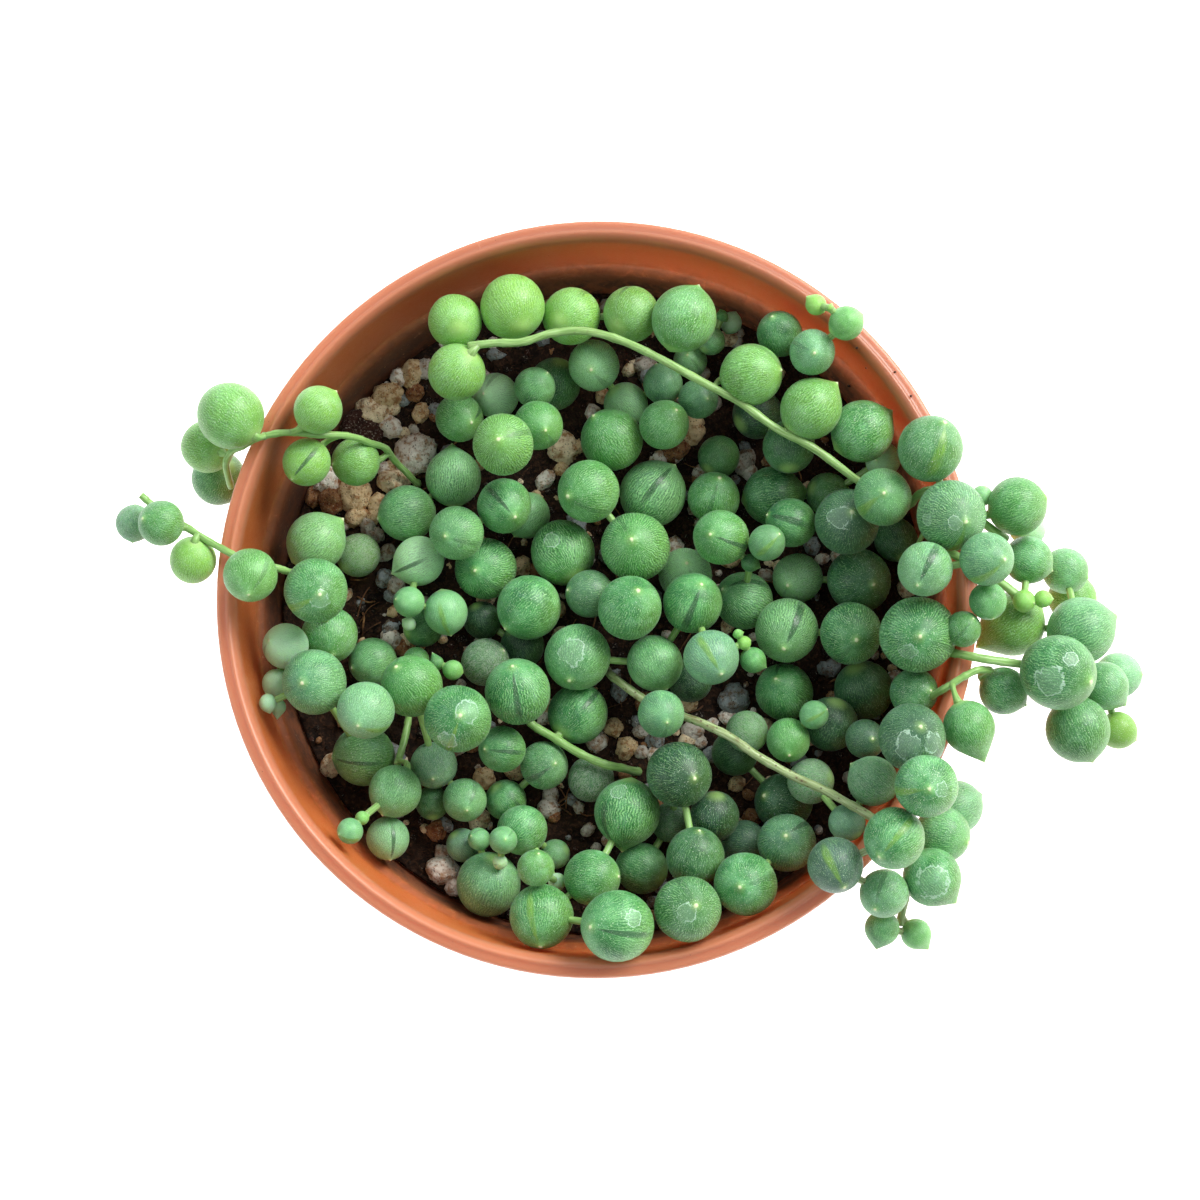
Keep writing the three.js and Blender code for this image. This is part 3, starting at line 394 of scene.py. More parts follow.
# Grit on the mix, as seen: (u, v, radius, kind).
GRIT = [
    (393, 370, 9, "white"), (411, 374, 12, "beige"), (381, 390, 13, "beige"), (425, 369, 9, "grey"),
    (360, 404, 14, "cream"), (415, 392, 9, "brown"), (391, 408, 8, "cream"), (421, 413, 9, "beige"),
    (390, 427, 11, "white"), (404, 433, 5, "cream"), (414, 429, 5, "grey"), (415, 456, 17, "white"),
    (394, 481, 13, "cream"), (386, 470, 8, "white"), (356, 494, 14, "beige"), (332, 500, 13, "brown"),
    (309, 494, 9, "brown"), (326, 480, 13, "white"), (377, 503, 8, "beige"), (356, 516, 10, "beige"),
    (368, 528, 9, "grey"), (375, 536, 9, "grey"), (374, 517, 7, "beige"), (387, 553, 9, "grey"),
    (384, 578, 9, "slate"), (395, 585, 8, "grey"), (391, 596, 6, "slate"), (393, 611, 6, "beige"),
    (383, 615, 4, "grey"), (390, 629, 7, "slate"), (395, 641, 8, "grey"), (345, 525, 5, "white"),
    (485, 778, 10, "beige"), (514, 770, 9, "beige"), (480, 820, 9, "cream"), (442, 870, 13, "white"),
    (442, 853, 7, "grey"), (437, 830, 9, "brown"), (455, 886, 9, "white"), (544, 718, 6, "white"),
    (579, 807, 6, "grey"), (554, 816, 6, "brown"), (588, 830, 6, "grey"), (596, 848, 5, "grey"),
    (614, 728, 9, "beige"), (626, 748, 9, "beige"), (642, 731, 7, "grey"), (656, 739, 9, "slate"),
    # The grain at 734, 699 is given the darker slate tone as painted shade, for the shadow that lies on it.
    (620, 690, 9, "slate"), (734, 699, 12, "slate"), (693, 730, 9, "grey"), (700, 742, 6, "grey"),
    (596, 746, 6, "brown"), (642, 752, 7, "grey"), (711, 755, 7, "slate"), (689, 703, 7, "beige"),
    (563, 448, 13, "cream"), (545, 480, 9, "white"), (521, 566, 8, "beige"), (645, 366, 10, "grey"),
    (693, 424, 9, "beige"), (672, 452, 9, "brown"), (745, 462, 10, "grey"), (812, 546, 7, "slate"),
    (765, 576, 6, "grey"), (345, 716, 9, "beige"), (333, 765, 10, "cream"), (749, 472, 7, "white"),
    (691, 433, 10, "beige"), (676, 446, 12, "brown"),
]
CHUNK_OF_BARK = (362, 428, 19)

# ------------------------------------------------------------------ seeded draws and smooth noise


def draw(seed):
    """A number from 0 to 1 that depends only on its seed: the fraction of a fast sine."""
    wave = np.sin(np.asarray(seed, float) * 12.9898 + 78.233) * 43758.5453
    return wave - np.floor(wave)


def ease(value, low, high):
    """0 below low, 1 above high, and a smooth S between."""
    share = np.clip((value - low) / (high - low), 0, 1)
    return share * share * (3 - 2 * share)


def lattice_draw(cells, seed):
    """A seeded number for each whole-numbered cell of two or three coordinates."""
    steps = np.array([127.1, 311.7, 74.7])[: cells.shape[-1]]
    wave = np.sin(cells @ steps + seed * 19.19) * 43758.5453
    return wave - np.floor(wave)


def value_noise(points, seed):
    """Noise from 0 to 1: seeded values at whole-numbered corners, blended smoothly between them."""
    size = points.shape[-1]
    cell = np.floor(points)
    share = points - cell
    share = share * share * (3 - 2 * share)
    total = np.zeros(points.shape[:-1])
    for corner in np.ndindex(*(2,) * size):
        weight = np.prod(np.where(np.array(corner) == 1, share, 1 - share), axis=-1)
        total += weight * lattice_draw(cell + np.array(corner), seed)
    return total


def rough_noise(points, seed, octaves):
    """Value noise summed over octaves, each half as strong and twice as fine as the one before."""
    total = sum(value_noise(points * 2.0**k, seed + k) / 2.0**k for k in range(octaves))
    return total / sum(0.5**k for k in range(octaves))


def crumb_noise(points, seed):
    """Cells round seeded points of a square lattice: distance to the nearest point, and that cell's draw."""
    cell = np.floor(points)
    nearest = np.full(points.shape[:-1], 9.0)
    own = np.zeros(points.shape[:-1])
    for step in np.ndindex(3, 3):
        other = cell + np.array(step) - 1
        centre = other + np.stack([lattice_draw(other, seed), lattice_draw(other, seed + 5)], axis=-1)
        distance = np.linalg.norm(points - centre, axis=-1)
        closer = distance < nearest
        nearest = np.where(closer, distance, nearest)
        own = np.where(closer, lattice_draw(other, seed + 9), own)
    return nearest, own


# ------------------------------------------------------------------ the pot's and the mix's measures


def inner_wall(z):
    """The wall's inner radius at a height below the collar's step: a straight taper."""
    top = RIM_RADIUS - RIM_LIP - COLLAR_TAPER - COLLAR_STEP
    foot = BASE_RADIUS - WALL
    return foot + (top - foot) * (z / (STEP_TOP - COLLAR_STEP))


MIX_LEVEL = POT_HEIGHT - MIX_DEPTH_BELOW_RIM


def mix_top(x, y):
    """The mix's level surface: two crossed waves of MIX_SWELL about its level."""
    return MIX_LEVEL + MIX_SWELL * 0.5 * (np.sin(0.17 * x + 0.6) + np.cos(0.15 * y - 0.4))


RIM_INSIDE = np.array([
    (RIM_RADIUS, POT_HEIGHT - LIP_DROP),
    (RIM_RADIUS, POT_HEIGHT - 1.1),
    (RIM_RADIUS - 0.5, POT_HEIGHT - 0.3),
    (RIM_RADIUS - 1.2, POT_HEIGHT),
    (RIM_RADIUS - RIM_LIP + 0.5, POT_HEIGHT - 0.3),
    (RIM_RADIUS - RIM_LIP, POT_HEIGHT - 1.2),
    (RIM_RADIUS - RIM_LIP - COLLAR_TAPER, STEP_TOP),
    (inner_wall(STEP_TOP - COLLAR_STEP), STEP_TOP - COLLAR_STEP),
    (inner_wall(POT_HEIGHT / 2), POT_HEIGHT / 2),
])


# ------------------------------------------------------------------ where the pearls lie
# The same rule as the solids': held pearls and bare stems first, then each lying pearl, layer by
# layer, at the lowest free place on its sight line that is above what it covers in the view.


def clear_of_pot(centres, radius):
    """Whether a ball at each centre stays REST_GAP clear of the rim and wall, seen as a section."""
    place = np.stack([np.hypot(centres[:, 0], centres[:, 1]), centres[:, 2]], axis=-1)
    start, step = RIM_INSIDE[:-1], np.diff(RIM_INSIDE, axis=0)
    from_start = place[:, None] - start
    share = np.clip((from_start * step).sum(-1) / (step * step).sum(-1), 0, 1)
    near = np.linalg.norm(from_start - share[..., None] * step, axis=-1).min(axis=1)
    inside = (place[:, 1] > POT_HEIGHT) | (place[:, 0] < inner_wall(place[:, 1]) + COLLAR_STEP)
    return inside & (near > radius + REST_GAP)


def tip_direction(u, v, size, tip_uv, away, seed):
    """Which way a pearl's tip points. With no tip seen, it points down from the eye at a seeded turn."""
    turn = 2 * np.pi * draw(seed * 17.7)
    flat = 0.88 * np.array([np.cos(turn), np.sin(turn)])
    if tip_uv is not None:
        flat = np.array([tip_uv[0] - u, v - tip_uv[1]]) / size / TIP_LENGTH
    depth = np.sqrt(max(0, 1 - flat @ flat)) * (-1 if away or tip_uv is None else 1)
    return unit(RIGHT * flat[0] + UPWARD * flat[1] - AHEAD * depth)


class Pearl:
    """One pearl of a string: where it is, how large it is and which way its tip points."""

    def __init__(self, row, seed, held):
        self.row, self.seed, self.held = row, seed, held
        self.u, self.v, self.size, self.level = row[:4]
        self.tip_uv = row[4:6] if len(row) > 4 else None
        away = len(row) > 6
        seen = 0 if self.tip_uv is None else np.hypot(*np.subtract(self.tip_uv, row[:2])) / self.size
        self.reach = max(TIP_LENGTH, seen)
        self.tip = tip_direction(self.u, self.v, self.size, self.tip_uv, away, seed)
        if held:
            self.rest_at(self.level)

    def centres(self, heights):
        """Its centre for each height above the rim, on its sight line."""
        return seen_at(self.u, self.v, np.asarray(heights, float)[:, None])

    def radii(self, centres):
        return self.size * ((centres - EYE) @ AHEAD) / VIEW_FOCUS

    def rest_at(self, height):
        self.height = height
        self.centre = self.centres([height])[0]
        self.radius = float(self.radii(self.centre))


def smooth_line(points, steps):
    """A Catmull-Rom line through points: each span is the cubic whose end slopes are half the
    difference of the neighbours on either side, sampled `steps` times a span."""
    points = np.asarray(points, float)
    before = np.vstack([2 * points[0] - points[1], points[:-2], points[-2:-1]])[: len(points) - 1]
    after = np.vstack([points[2:], 2 * points[-1] - points[-2]])
    start, end = points[:-1], points[1:]
    slope_in, slope_out = 0.5 * (end - before), 0.5 * (after - start)
    t = (np.arange(steps) / steps)[None, :, None]
    start, end, slope_in, slope_out = (a[:, None] for a in (start, end, slope_in, slope_out))
    bend = -3 * start + 3 * end - 2 * slope_in - slope_out
    twist = 2 * start - 2 * end + slope_in + slope_out
    line = start + slope_in * t + bend * t**2 + twist * t**3
    return np.vstack([line.reshape(-1, 3), points[-1:]])


def stem_route(rows):
    """The stem's points in space. An end that lies in the mix goes straight down into it."""
    route = []
    for u, v, height in rows:
        point = seen_at(u, v, height)
        inset = point[:2] * min(1, ROOT_REACH / np.hypot(*point[:2]))
        level = mix_top(*inset)
        neck, foot = np.array([*inset, level + 0.4]), np.array([*inset, level - ROOT_DEPTH])
        if height > -MIX_DEPTH_BELOW_RIM:
            route.append(point)
        else:
            route += [neck, foot] if route else [foot, neck]
    return route


class String:
    """One string of the plant: its bare stem and its pearls."""

    def __init__(self, name, plan, first_seed):
        self.name = name
        self.route = stem_route(plan.get("stem", []))
        self.path = smooth_line(self.route, STEM_SPAN_STEPS) if self.route else np.zeros((0, 3))
        held, lying = plan.get("held", []), plan.get("lying", [])
        self.held = [Pearl(row, first_seed + i, True) for i, row in enumerate(held)]
        self.lying = [Pearl(row, first_seed + len(held) + i, False) for i, row in enumerate(lying)]
        self.first = (self.lying or self.held)[0]
        self.pearls = list(self.held)


def grow_plant():
    """Every string with its pearls in place, in the order in which the solids settle."""
    plant, seed = [], 1
    for name, plan in STRINGS.items():
        plant.append(String(name, plan, seed))
        seed += len(plant[-1].held) + len(plant[-1].lying)
    stems = np.vstack([string.path for string in plant])
    placed = [pearl for string in plant for pearl in string.held]
    settled = []
    steps = int((SETTLE_TOP + MIX_DEPTH_BELOW_RIM) / SETTLE_STEP) + 1
    heights = np.add.accumulate([-MIX_DEPTH_BELOW_RIM] + [SETTLE_STEP] * steps)
    waiting = [(pearl, string) for string in plant for pearl in string.lying]
    for pearl, string in sorted(waiting, key=lambda pair: (pair[0].level, pair[0].seed)):
        covered = [
            other.height for other in settled
            if other.level < pearl.level
            and np.hypot(other.u - pearl.u, other.v - pearl.v) < 0.9 * (pearl.size + other.size)
        ]
        centres = pearl.centres(heights)
        radii = pearl.radii(centres)
        others = np.array([other.centre for other in placed])
        room = np.linalg.norm(centres[:, None] - others, axis=-1) - radii[:, None] - PEARL_GAP
        stem_room = np.linalg.norm(centres[:, None] - stems, axis=-1) - radii[:, None] - PEARL_GAP
        free = (
            (heights > max(covered, default=-np.inf))
            & (centres[:, 2] > mix_top(centres[:, 0], centres[:, 1]) + radii + REST_GAP)
            & clear_of_pot(centres, radii)
            & (room > [other.radius for other in placed]).all(axis=1)
            & (stem_room > SOLID_STEM_RADIUS).all(axis=1)
        )
        pearl.rest_at(heights[np.argmax(free)] if free.any() else SETTLE_TOP)
        string.pearls.append(pearl)
        placed.append(pearl)
        settled.append(pearl)
    return plant


# ------------------------------------------------------------------ meshes from whole arrays


def closed_faces(rings, sides, copies=1):
    """Faces of closed surfaces, each a first pole, rings of points and a last pole, facing out when
    the rings turn anticlockwise about the way from the first pole to the last."""
    size = rings * sides + 2
    ring, side = np.meshgrid(np.arange(rings - 1), np.arange(sides), indexing="ij")
    turn = (side + 1) % sides
    corner = 1 + ring * sides
    quads = np.stack([corner + side, corner + turn, corner + sides + turn, corner + sides + side], axis=-1)
    around = np.arange(sides)
    onward = (around + 1) % sides
    first = np.stack([np.zeros_like(around), 1 + onward, 1 + around], axis=-1)
    base = 1 + (rings - 1) * sides
    last = np.stack([np.full_like(around, size - 1), base + around, base + onward], axis=-1)
    offsets = (np.arange(copies) * size)[:, None, None]
    quads = (quads.reshape(1, -1, 4) + offsets).reshape(-1, 4)
    fans = (np.vstack([first, last])[None] + offsets).reshape(-1, 3)
    return quads, fans


def mesh_piece(name, points, faces, finishes, attributes=None, finish_of_face=None, smooth=True):
    """A mesh object from points in mm, with face arrays, materials and per-point attributes."""
    mesh = bpy.data.meshes.new(name)
    polygons = [face for group in faces for face in group.tolist()]
    mesh.from_pydata((np.asarray(points, float) * MM).tolist(), [], polygons)
    for label, values in (attributes or {}).items():
        kind = "FLOAT_VECTOR" if np.ndim(values) == 2 else "FLOAT"
        field = "vector" if kind == "FLOAT_VECTOR" else "value"
        layer = mesh.attributes.new(label, kind, "POINT")
        layer.data.foreach_set(field, np.asarray(values, np.float32).ravel())
    for finish in finishes:
        mesh.materials.append(finish)
    if finish_of_face is not None:
        mesh.polygons.foreach_set("material_index", np.asarray(finish_of_face, np.int32))
    mesh.polygons.foreach_set("use_smooth", np.full(len(polygons), smooth))
    mesh.update()
    piece = bpy.data.objects.new(name, mesh)
    bpy.context.scene.collection.objects.link(piece)
    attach(piece, "root")
    return piece


class Batch:
    """Closed surfaces gathered for one piece: points, faces, finish numbers and attributes."""

    def __init__(self, *labels):
        self.points, self.quads, self.fans = [], [], []
        self.quad_finish, self.fan_finish = [], []
        self.values = {label: [] for label in labels}
        self.count = 0

    def add(self, points, faces, finish=0, **values):
        quads, fans = faces
        self.points.append(points)
        self.quads.append(quads + self.count)
        self.fans.append(fans + self.count)
        self.quad_finish.append(np.full(len(quads), finish))
        self.fan_finish.append(np.full(len(fans), finish))
        for label, kept in self.values.items():
            given = np.asarray(values.get(label, (0, 0, 0)), float)
            kept.append(np.broadcast_to(given, (len(points), 3)))
        self.count += len(points)

    def piece(self, name, slot, finishes, smooth=True):
        return mesh_piece(
            name, np.vstack(self.points), [np.vstack(self.quads), np.vstack(self.fans)], finishes,
            {label: np.vstack(kept) for label, kept in self.values.items()},
            np.concatenate(self.quad_finish + self.fan_finish), smooth)


def ball_directions(polar, turn):
    """Directions at an angle t from the pole and a turn a about it: (sin t cos a, sin t sin a, cos t)."""
    return np.stack(np.broadcast_arrays(
        np.sin(polar) * np.cos(turn), np.sin(polar) * np.sin(turn), np.cos(polar)), axis=-1)


def one_point_at_poles(grid):
    """A grid's rings as one list of points, with a single point for its first and its last ring."""
    return np.vstack([grid[:1, 0], grid[1:-1].reshape(-1, 3), grid[-1:, 0]])


def carried_sides(path):
    """Two cross directions at each point of a path, carried along it with the least turning."""
    along = unit(np.gradient(path, axis=0))
    side = unit(np.cross(along[0], np.eye(3)[np.argmin(np.abs(along[0]))]))
    sides = [side]
    for step in along[1:]:
        side = unit(side - step * (side @ step))
        sides.append(side)
    sides = np.array(sides)
    return sides, np.cross(along, sides)


def tube(path, radii, sides):
    """A tube along a path: centre + r (cos a · side + sin a · up) for a turn a, closed by a pole at
    each end. The second result gives (cos a, sin a, distance along) at each point."""
    side, up = carried_sides(path)
    turn = 2 * np.pi * np.arange(sides) / sides
    radii = np.broadcast_to(radii, (len(path), sides) if np.ndim(radii) == 2 else (len(path),))
    radii = radii if np.ndim(radii) == 2 else radii[:, None]
    ring = side[:, None] * np.cos(turn)[None, :, None] + up[:, None] * np.sin(turn)[None, :, None]
    points = path[:, None] + radii[..., None] * ring
    distance = np.concatenate([[0], np.cumsum(np.linalg.norm(np.diff(path, axis=0), axis=-1))])
    where = np.stack(np.broadcast_arrays(np.cos(turn), np.sin(turn), distance[:, None]), axis=-1)
    points = np.vstack([path[:1], points.reshape(-1, 3), path[-1:]])
    ends = np.array([[0, 0, distance[0]], [0, 0, distance[-1]]])
    where = np.vstack([ends[:1], where.reshape(-1, 3), ends[1:]])
    return points, where, closed_faces(len(path), sides)


def bent_line(a, b, c, d, count):
    """A cubic curve from a to d that leaves towards b and arrives from c."""
    t = np.linspace(0, 1, count)[:, None]
    return (1 - t)**3 * a + 3 * (1 - t)**2 * t * b + 3 * (1 - t) * t**2 * c + t**3 * d


# ------------------------------------------------------------------ shader maths


class Value:
    """A shader socket. Its operators add Math nodes, so a formula reads as an expression."""

    def __init__(self, finish, socket):
        self.finish, self.socket = finish, socket

    def maths(self, operation, *values):
        return self.finish.node("ShaderNodeMath", {"operation": operation}, dict(enumerate(values)))

    def __add__(self, other):
        return self.maths("ADD", self, other)

    def __sub__(self, other):
        return self.maths("SUBTRACT", self, other)

    def __rsub__(self, other):
        return self.maths("SUBTRACT", other, self)

    def __mul__(self, other):
        return self.maths("MULTIPLY", self, other)

    def __truediv__(self, other):
        return self.maths("DIVIDE", self, other)

    def __rtruediv__(self, other):
        return self.maths("DIVIDE", other, self)

    def __pow__(self, other):
        return self.maths("POWER", self, other)

    def __neg__(self):
        return self.maths("MULTIPLY", self, -1)

    def __abs__(self):
        return self.maths("ABSOLUTE", self)

    __radd__, __rmul__ = __add__, __mul__

    def ease(self, low, high):
        """0 at low, 1 at high, and a smooth S between."""
        settings = {"interpolation_type": "SMOOTHSTEP"}
        return self.finish.node("ShaderNodeMapRange", settings, {0: self, 1: low, 2: high, 3: 0, 4: 1})

    def least(self, other):
        return self.maths("MINIMUM", self, other)

    def most(self, other):
        return self.maths("MAXIMUM", self, other)


class Finish:
    """One material: node() adds any node, and the other methods are short names for common ones."""

    def __init__(self, name):
        self.material = bpy.data.materials.new(name)
        self.material.use_nodes = True
        self.tree = self.material.node_tree
        self.tree.nodes.clear()

    def node(self, kind, settings=None, inputs=None, output=0):
        """Adds a node of a type: settings are set first, then socket values or links, by name or number."""
        made = self.tree.nodes.new(kind)
        for label, value in (settings or {}).items():
            if label == "stops":
                self.set_stops(made, value)
            else:
                setattr(made, label, value)
        for label, value in (inputs or {}).items():
            if isinstance(value, Value):
                self.tree.links.new(value.socket, made.inputs[label])
            else:
                made.inputs[label].default_value = value
        return Value(self, made.outputs[output]) if made.outputs else made

    @staticmethod
    def set_stops(made, stops):
        elements = made.color_ramp.elements
        while len(elements) < len(stops):
            elements.new(0.5)
        for element, (place, colour) in zip(elements, stops):
            element.position, element.color = place, colour

    def attribute(self, label):
        return self.node("ShaderNodeAttribute", {"attribute_name": label}, output="Vector")

    def parts(self, vector):
        """The three numbers of a vector."""
        split = self.node("ShaderNodeSeparateXYZ", inputs={0: vector}).socket.node
        return [Value(self, socket) for socket in split.outputs]

    def vector(self, x, y, z):
        return self.node("ShaderNodeCombineXYZ", inputs={0: x, 1: y, 2: z})

    def vector_maths(self, operation, *values, output=0):
        return self.node("ShaderNodeVectorMath", {"operation": operation}, dict(enumerate(values)), output)

    def object_place(self):
        """The place in mm, from Object coordinates."""
        place = self.node("ShaderNodeTexCoord", output="Object")
        return self.vector_maths("MULTIPLY", place, (1 / MM, 1 / MM, 1 / MM))

    def noise(self, vector, scale, detail=2.0, roughness=0.5, warp=0.0):
        inputs = {"Vector": vector, "Scale": scale, "Detail": detail, "Roughness": roughness,
                  "Distortion": warp}
        return self.node("ShaderNodeTexNoise", inputs=inputs)

    def cells(self, vector, scale, output="Distance"):
        return self.node("ShaderNodeTexVoronoi", inputs={"Vector": vector, "Scale": scale}, output=output)

    def mix(self, first, second, share):
        """The first colour where share is 0, and the second where it is 1."""
        settings = {"data_type": "RGBA", "clamp_factor": True}
        return self.node("ShaderNodeMix", settings, {0: share, 6: first, 7: second}, output=2)

    def times(self, first, second, share):
        """The first colour, multiplied by the second as far as share says."""
        settings = {"data_type": "RGBA", "blend_type": "MULTIPLY", "clamp_factor": True}
        return self.node("ShaderNodeMix", settings, {0: share, 6: first, 7: second}, output=2)

    def ramp(self, share, stops):
        return self.node("ShaderNodeValToRGB", {"stops": stops}, {0: share}, output="Color")

    def bump(self, height, depth, strength=1.0):
        """A bump of a height from 0 to 1, depth mm deep."""
        inputs = {"Height": height, "Distance": depth * MM, "Strength": strength}
        return self.node("ShaderNodeBump", inputs=inputs)

    def surface(self, **inputs):
        """The material's one shader, by its socket names with _ for a space."""
        named = {label.replace("_", " "): value for label, value in inputs.items()}
        shader = self.node("ShaderNodeBsdfPrincipled", inputs=named)
        self.node("ShaderNodeOutputMaterial", inputs={"Surface": shader})
        return self.material


def tint(red, green, blue):
    """A colour in 0-255 screen values as the linear colour that a shader takes."""
    share = np.array([red, green, blue]) / 255
    linear = np.where(share <= 0.04045, share / 12.92, ((share + 0.055) / 1.055)**2.4)
    return (*linear.tolist(), 1.0)


# ------------------------------------------------------------------ finishes

# Skin colours. The darkest, the lit and the mint greens serve as painted shade and painted light, and the
# warm and cool greens as a painted glow and painted shade on a pearl's two sides.
SKIN = {
    "deep": tint(46, 118, 64), "middle": tint(74, 152, 82), "pale": tint(110, 188, 110),
    "olive": tint(98, 164, 74), "young": tint(104, 190, 100), "youngest": tint(158, 230, 140),
    "painted_shading": tint(18, 60, 36), "lit": tint(184, 240, 178), "mellow": tint(162, 214, 82),
    "dull": tint(92, 118, 92), "valley": tint(18, 78, 32), "ridge": tint(164, 222, 150),
    "painted_glow": tint(136, 170, 70), "painted_cool_shade": tint(56, 132, 98), "bloom": tint(160, 204, 186),
    "glass_deep": tint(32, 64, 42), "glass": tint(58, 100, 66),
    "gold_deep": tint(92, 142, 52), "gold": tint(136, 182, 74), "water": tint(190, 222, 200),
    "scar": tint(228, 238, 222), "tip": tint(172, 214, 128), "nib": tint(226, 232, 190),
    "base": tint(166, 206, 120), "painted_light_pale": tint(200, 246, 200),
}

STREAKS_ROUND = 66
STREAK_WAVER = 22


def pearl_finish():
    """The waxy skin of a pearl, on its own axes: z at the tip and x at the window.

    Each pearl brings its own numbers: how young and dull it is, how far it is painted darker as
    painted shade (above 0) and paler as painted light (below 0), its window's width and kind, how
    streaky and bloomy it is, and its hue, with a painted glow: yellower on the side that faces right
    in the view and bluer, as painted shade, on the other. Streaks are sin(n a + noise) for a turn a
    about the tip, broken into dashes along the angle t from it, so that they run together at the
    tip. The window is where |y| is less than its half-width times sin t. The window, the water
    rings, old scars and the pale tip come on top of the streaks and the bloom."""
    f = Finish("pearl_skin")
    leaf = f.attribute("leaf")
    x, y, z = f.parts(leaf)
    young, painted_shading, dull = f.parts(f.attribute("look"))
    width, yellow, window = f.parts(f.attribute("window"))
    streaky, bloomy, seed = f.parts(f.attribute("wear"))
    flat = (x * x + y * y + 1e-6) ** 0.5
    angle = flat.maths("ARCTAN2", flat, z)
    side = angle.maths("SINE", angle)
    mellow, blue, painted_glow = f.parts(f.attribute("hue"))
    offset = f.vector_maths("ADD", leaf, f.vector(seed * 17, seed * 31, seed * 47))
    waver = f.noise(offset, 3.5, 3.0, 0.6)
    phase = y.maths("ARCTAN2", y, x) * STREAKS_ROUND + waver * STREAK_WAVER
    wave = phase.maths("SINE", phase)
    dashes = f.noise(f.vector(x / flat * 17, y / flat * 17, angle * 4.5 + seed * 40), 1.0, 2.0, 0.5)
    clouds = f.noise(offset, 1.3, 2.0, 0.5, 0.3)
    patches = f.noise(offset, 3.2, 4.0, 0.6, 0.8)
    grains = f.noise(offset, 30.0, 2.0, 0.6)
    specks = f.noise(offset, 30.0, 1.0, 0.5)

    skin = f.ramp(clouds, [(0.32, SKIN["deep"]), (0.5, SKIN["middle"]), (0.7, SKIN["pale"])])
    tone = f.noise(f.vector(seed * 91, seed * 53, 0.5), 1.0, 0.0)
    skin = f.mix(skin, SKIN["olive"], tone.ease(0.5, 0.72) * 0.5)
    fresh = f.ramp(clouds, [(0.3, SKIN["young"]), (0.7, SKIN["youngest"])])
    skin = f.mix(skin, fresh, young * 0.9)
    # painted light and painted shade: pearls below 0 are painted towards the lit colour, and pearls above 0
    # towards the darkest green
    skin = f.mix(skin, SKIN["lit"], -painted_shading * 0.6)
    skin = f.mix(skin, SKIN["painted_shading"], painted_shading * 0.85)
    plain = 1 - abs(painted_shading) * 0.5
    # painted glow and painted shade: the side of each pearl that faces right in the view is painted
    # yellow-green, as if lit through, and the other side bluer
    skin = f.mix(skin, SKIN["painted_glow"], painted_glow.ease(0.0, 0.95) * 0.45 * (1 - young * 0.6) * plain)
    skin = f.mix(skin, SKIN["painted_cool_shade"], (-painted_glow).ease(0.1, 0.95) * 0.32 * plain)
    skin = f.mix(skin, SKIN["mellow"], mellow * 0.6)
    skin = f.mix(skin, SKIN["bloom"], blue * 0.4 * (1 - painted_shading.ease(0.3, 1.2) * 0.6))
    skin = f.mix(skin, SKIN["dull"], dull * 0.5)
    # painted light: the pearls furthest below 0 are painted near white-green
    painted_light_share = (-painted_shading).ease(1.1, 1.8)
    skin = f.mix(skin, SKIN["painted_light_pale"], painted_light_share * 0.75)

    grown = (1 - young * 0.75) * (1 - painted_shading.ease(0.0, 1.2) * 0.45) * (1 - painted_light_share * 0.4)
    spread = side.ease(0.1, 0.6)
    ridges = wave.ease(0.1, 0.85) * dashes.ease(0.4, 0.56) * spread
    valleys = (1 - wave.ease(-0.85, 0.0)) * (0.35 + 0.65 * dashes.ease(0.36, 0.5)) * spread
    skin = f.mix(skin, SKIN["valley"], valleys * (streaky * 0.3 + 0.36) * grown)
    skin = f.mix(skin, SKIN["ridge"], ridges * (streaky * 0.3 + 0.36) * grown)
    skin = f.mix(skin, SKIN["ridge"], grains.ease(0.54, 0.68) * 0.4 * grown)
    skin = f.mix(skin, SKIN["valley"], (1 - grains.ease(0.36, 0.47)) * 0.42 * grown)

    bloom = (patches.ease(0.44, 0.7) * 0.55 + clouds.ease(0.42, 0.68) * 0.45) * bloomy * grown
    bloom = bloom * (0.5 + grains.ease(0.4, 0.62) * 0.5)
    skin = f.mix(skin, SKIN["bloom"], bloom * 0.34)

    opening = angle.ease(0.03, 0.45) * (1 - angle.ease(1.35, 2.2))
    bent = y + (patches - 0.5) * 0.05
    reach = abs(bent) / (side * width * (0.45 + opening * 0.75) + 0.012)
    lit = x.ease(0.0, 0.06) * opening
    soft = 0.35 + yellow * 0.25
    glass = (1 - ((reach - 1) / soft).ease(-1.0, 0.6)) * lit * window
    inner = f.noise(f.vector(y * 26, angle * 3, seed * 9), 1.0, 2.0, 0.6)
    grey = f.ramp(inner, [(0.35, SKIN["glass_deep"]), (0.65, SKIN["glass"])])
    gold = f.ramp(inner, [(0.35, SKIN["gold_deep"]), (0.65, SKIN["gold"])])
    skin = f.mix(skin, f.mix(grey, gold, yellow), glass * 0.76)

    marks = []
    broken = f.noise(offset, 2.4, 3.0, 0.6)
    for label in ("ring_a", "ring_b"):
        across = f.vector_maths("LENGTH", f.attribute(label), output="Value")
        wobble = across + (patches - 0.5) * 1.5
        line = (1 - abs(wobble - 1).ease(0.02, 0.11)) * broken.ease(0.34, 0.5)
        marks.append(line.most((1 - wobble.ease(0.8, 1.05)) * 0.22))
    mark = marks[0].most(marks[1])
    skin = f.mix(skin, SKIN["water"], mark * 0.75)

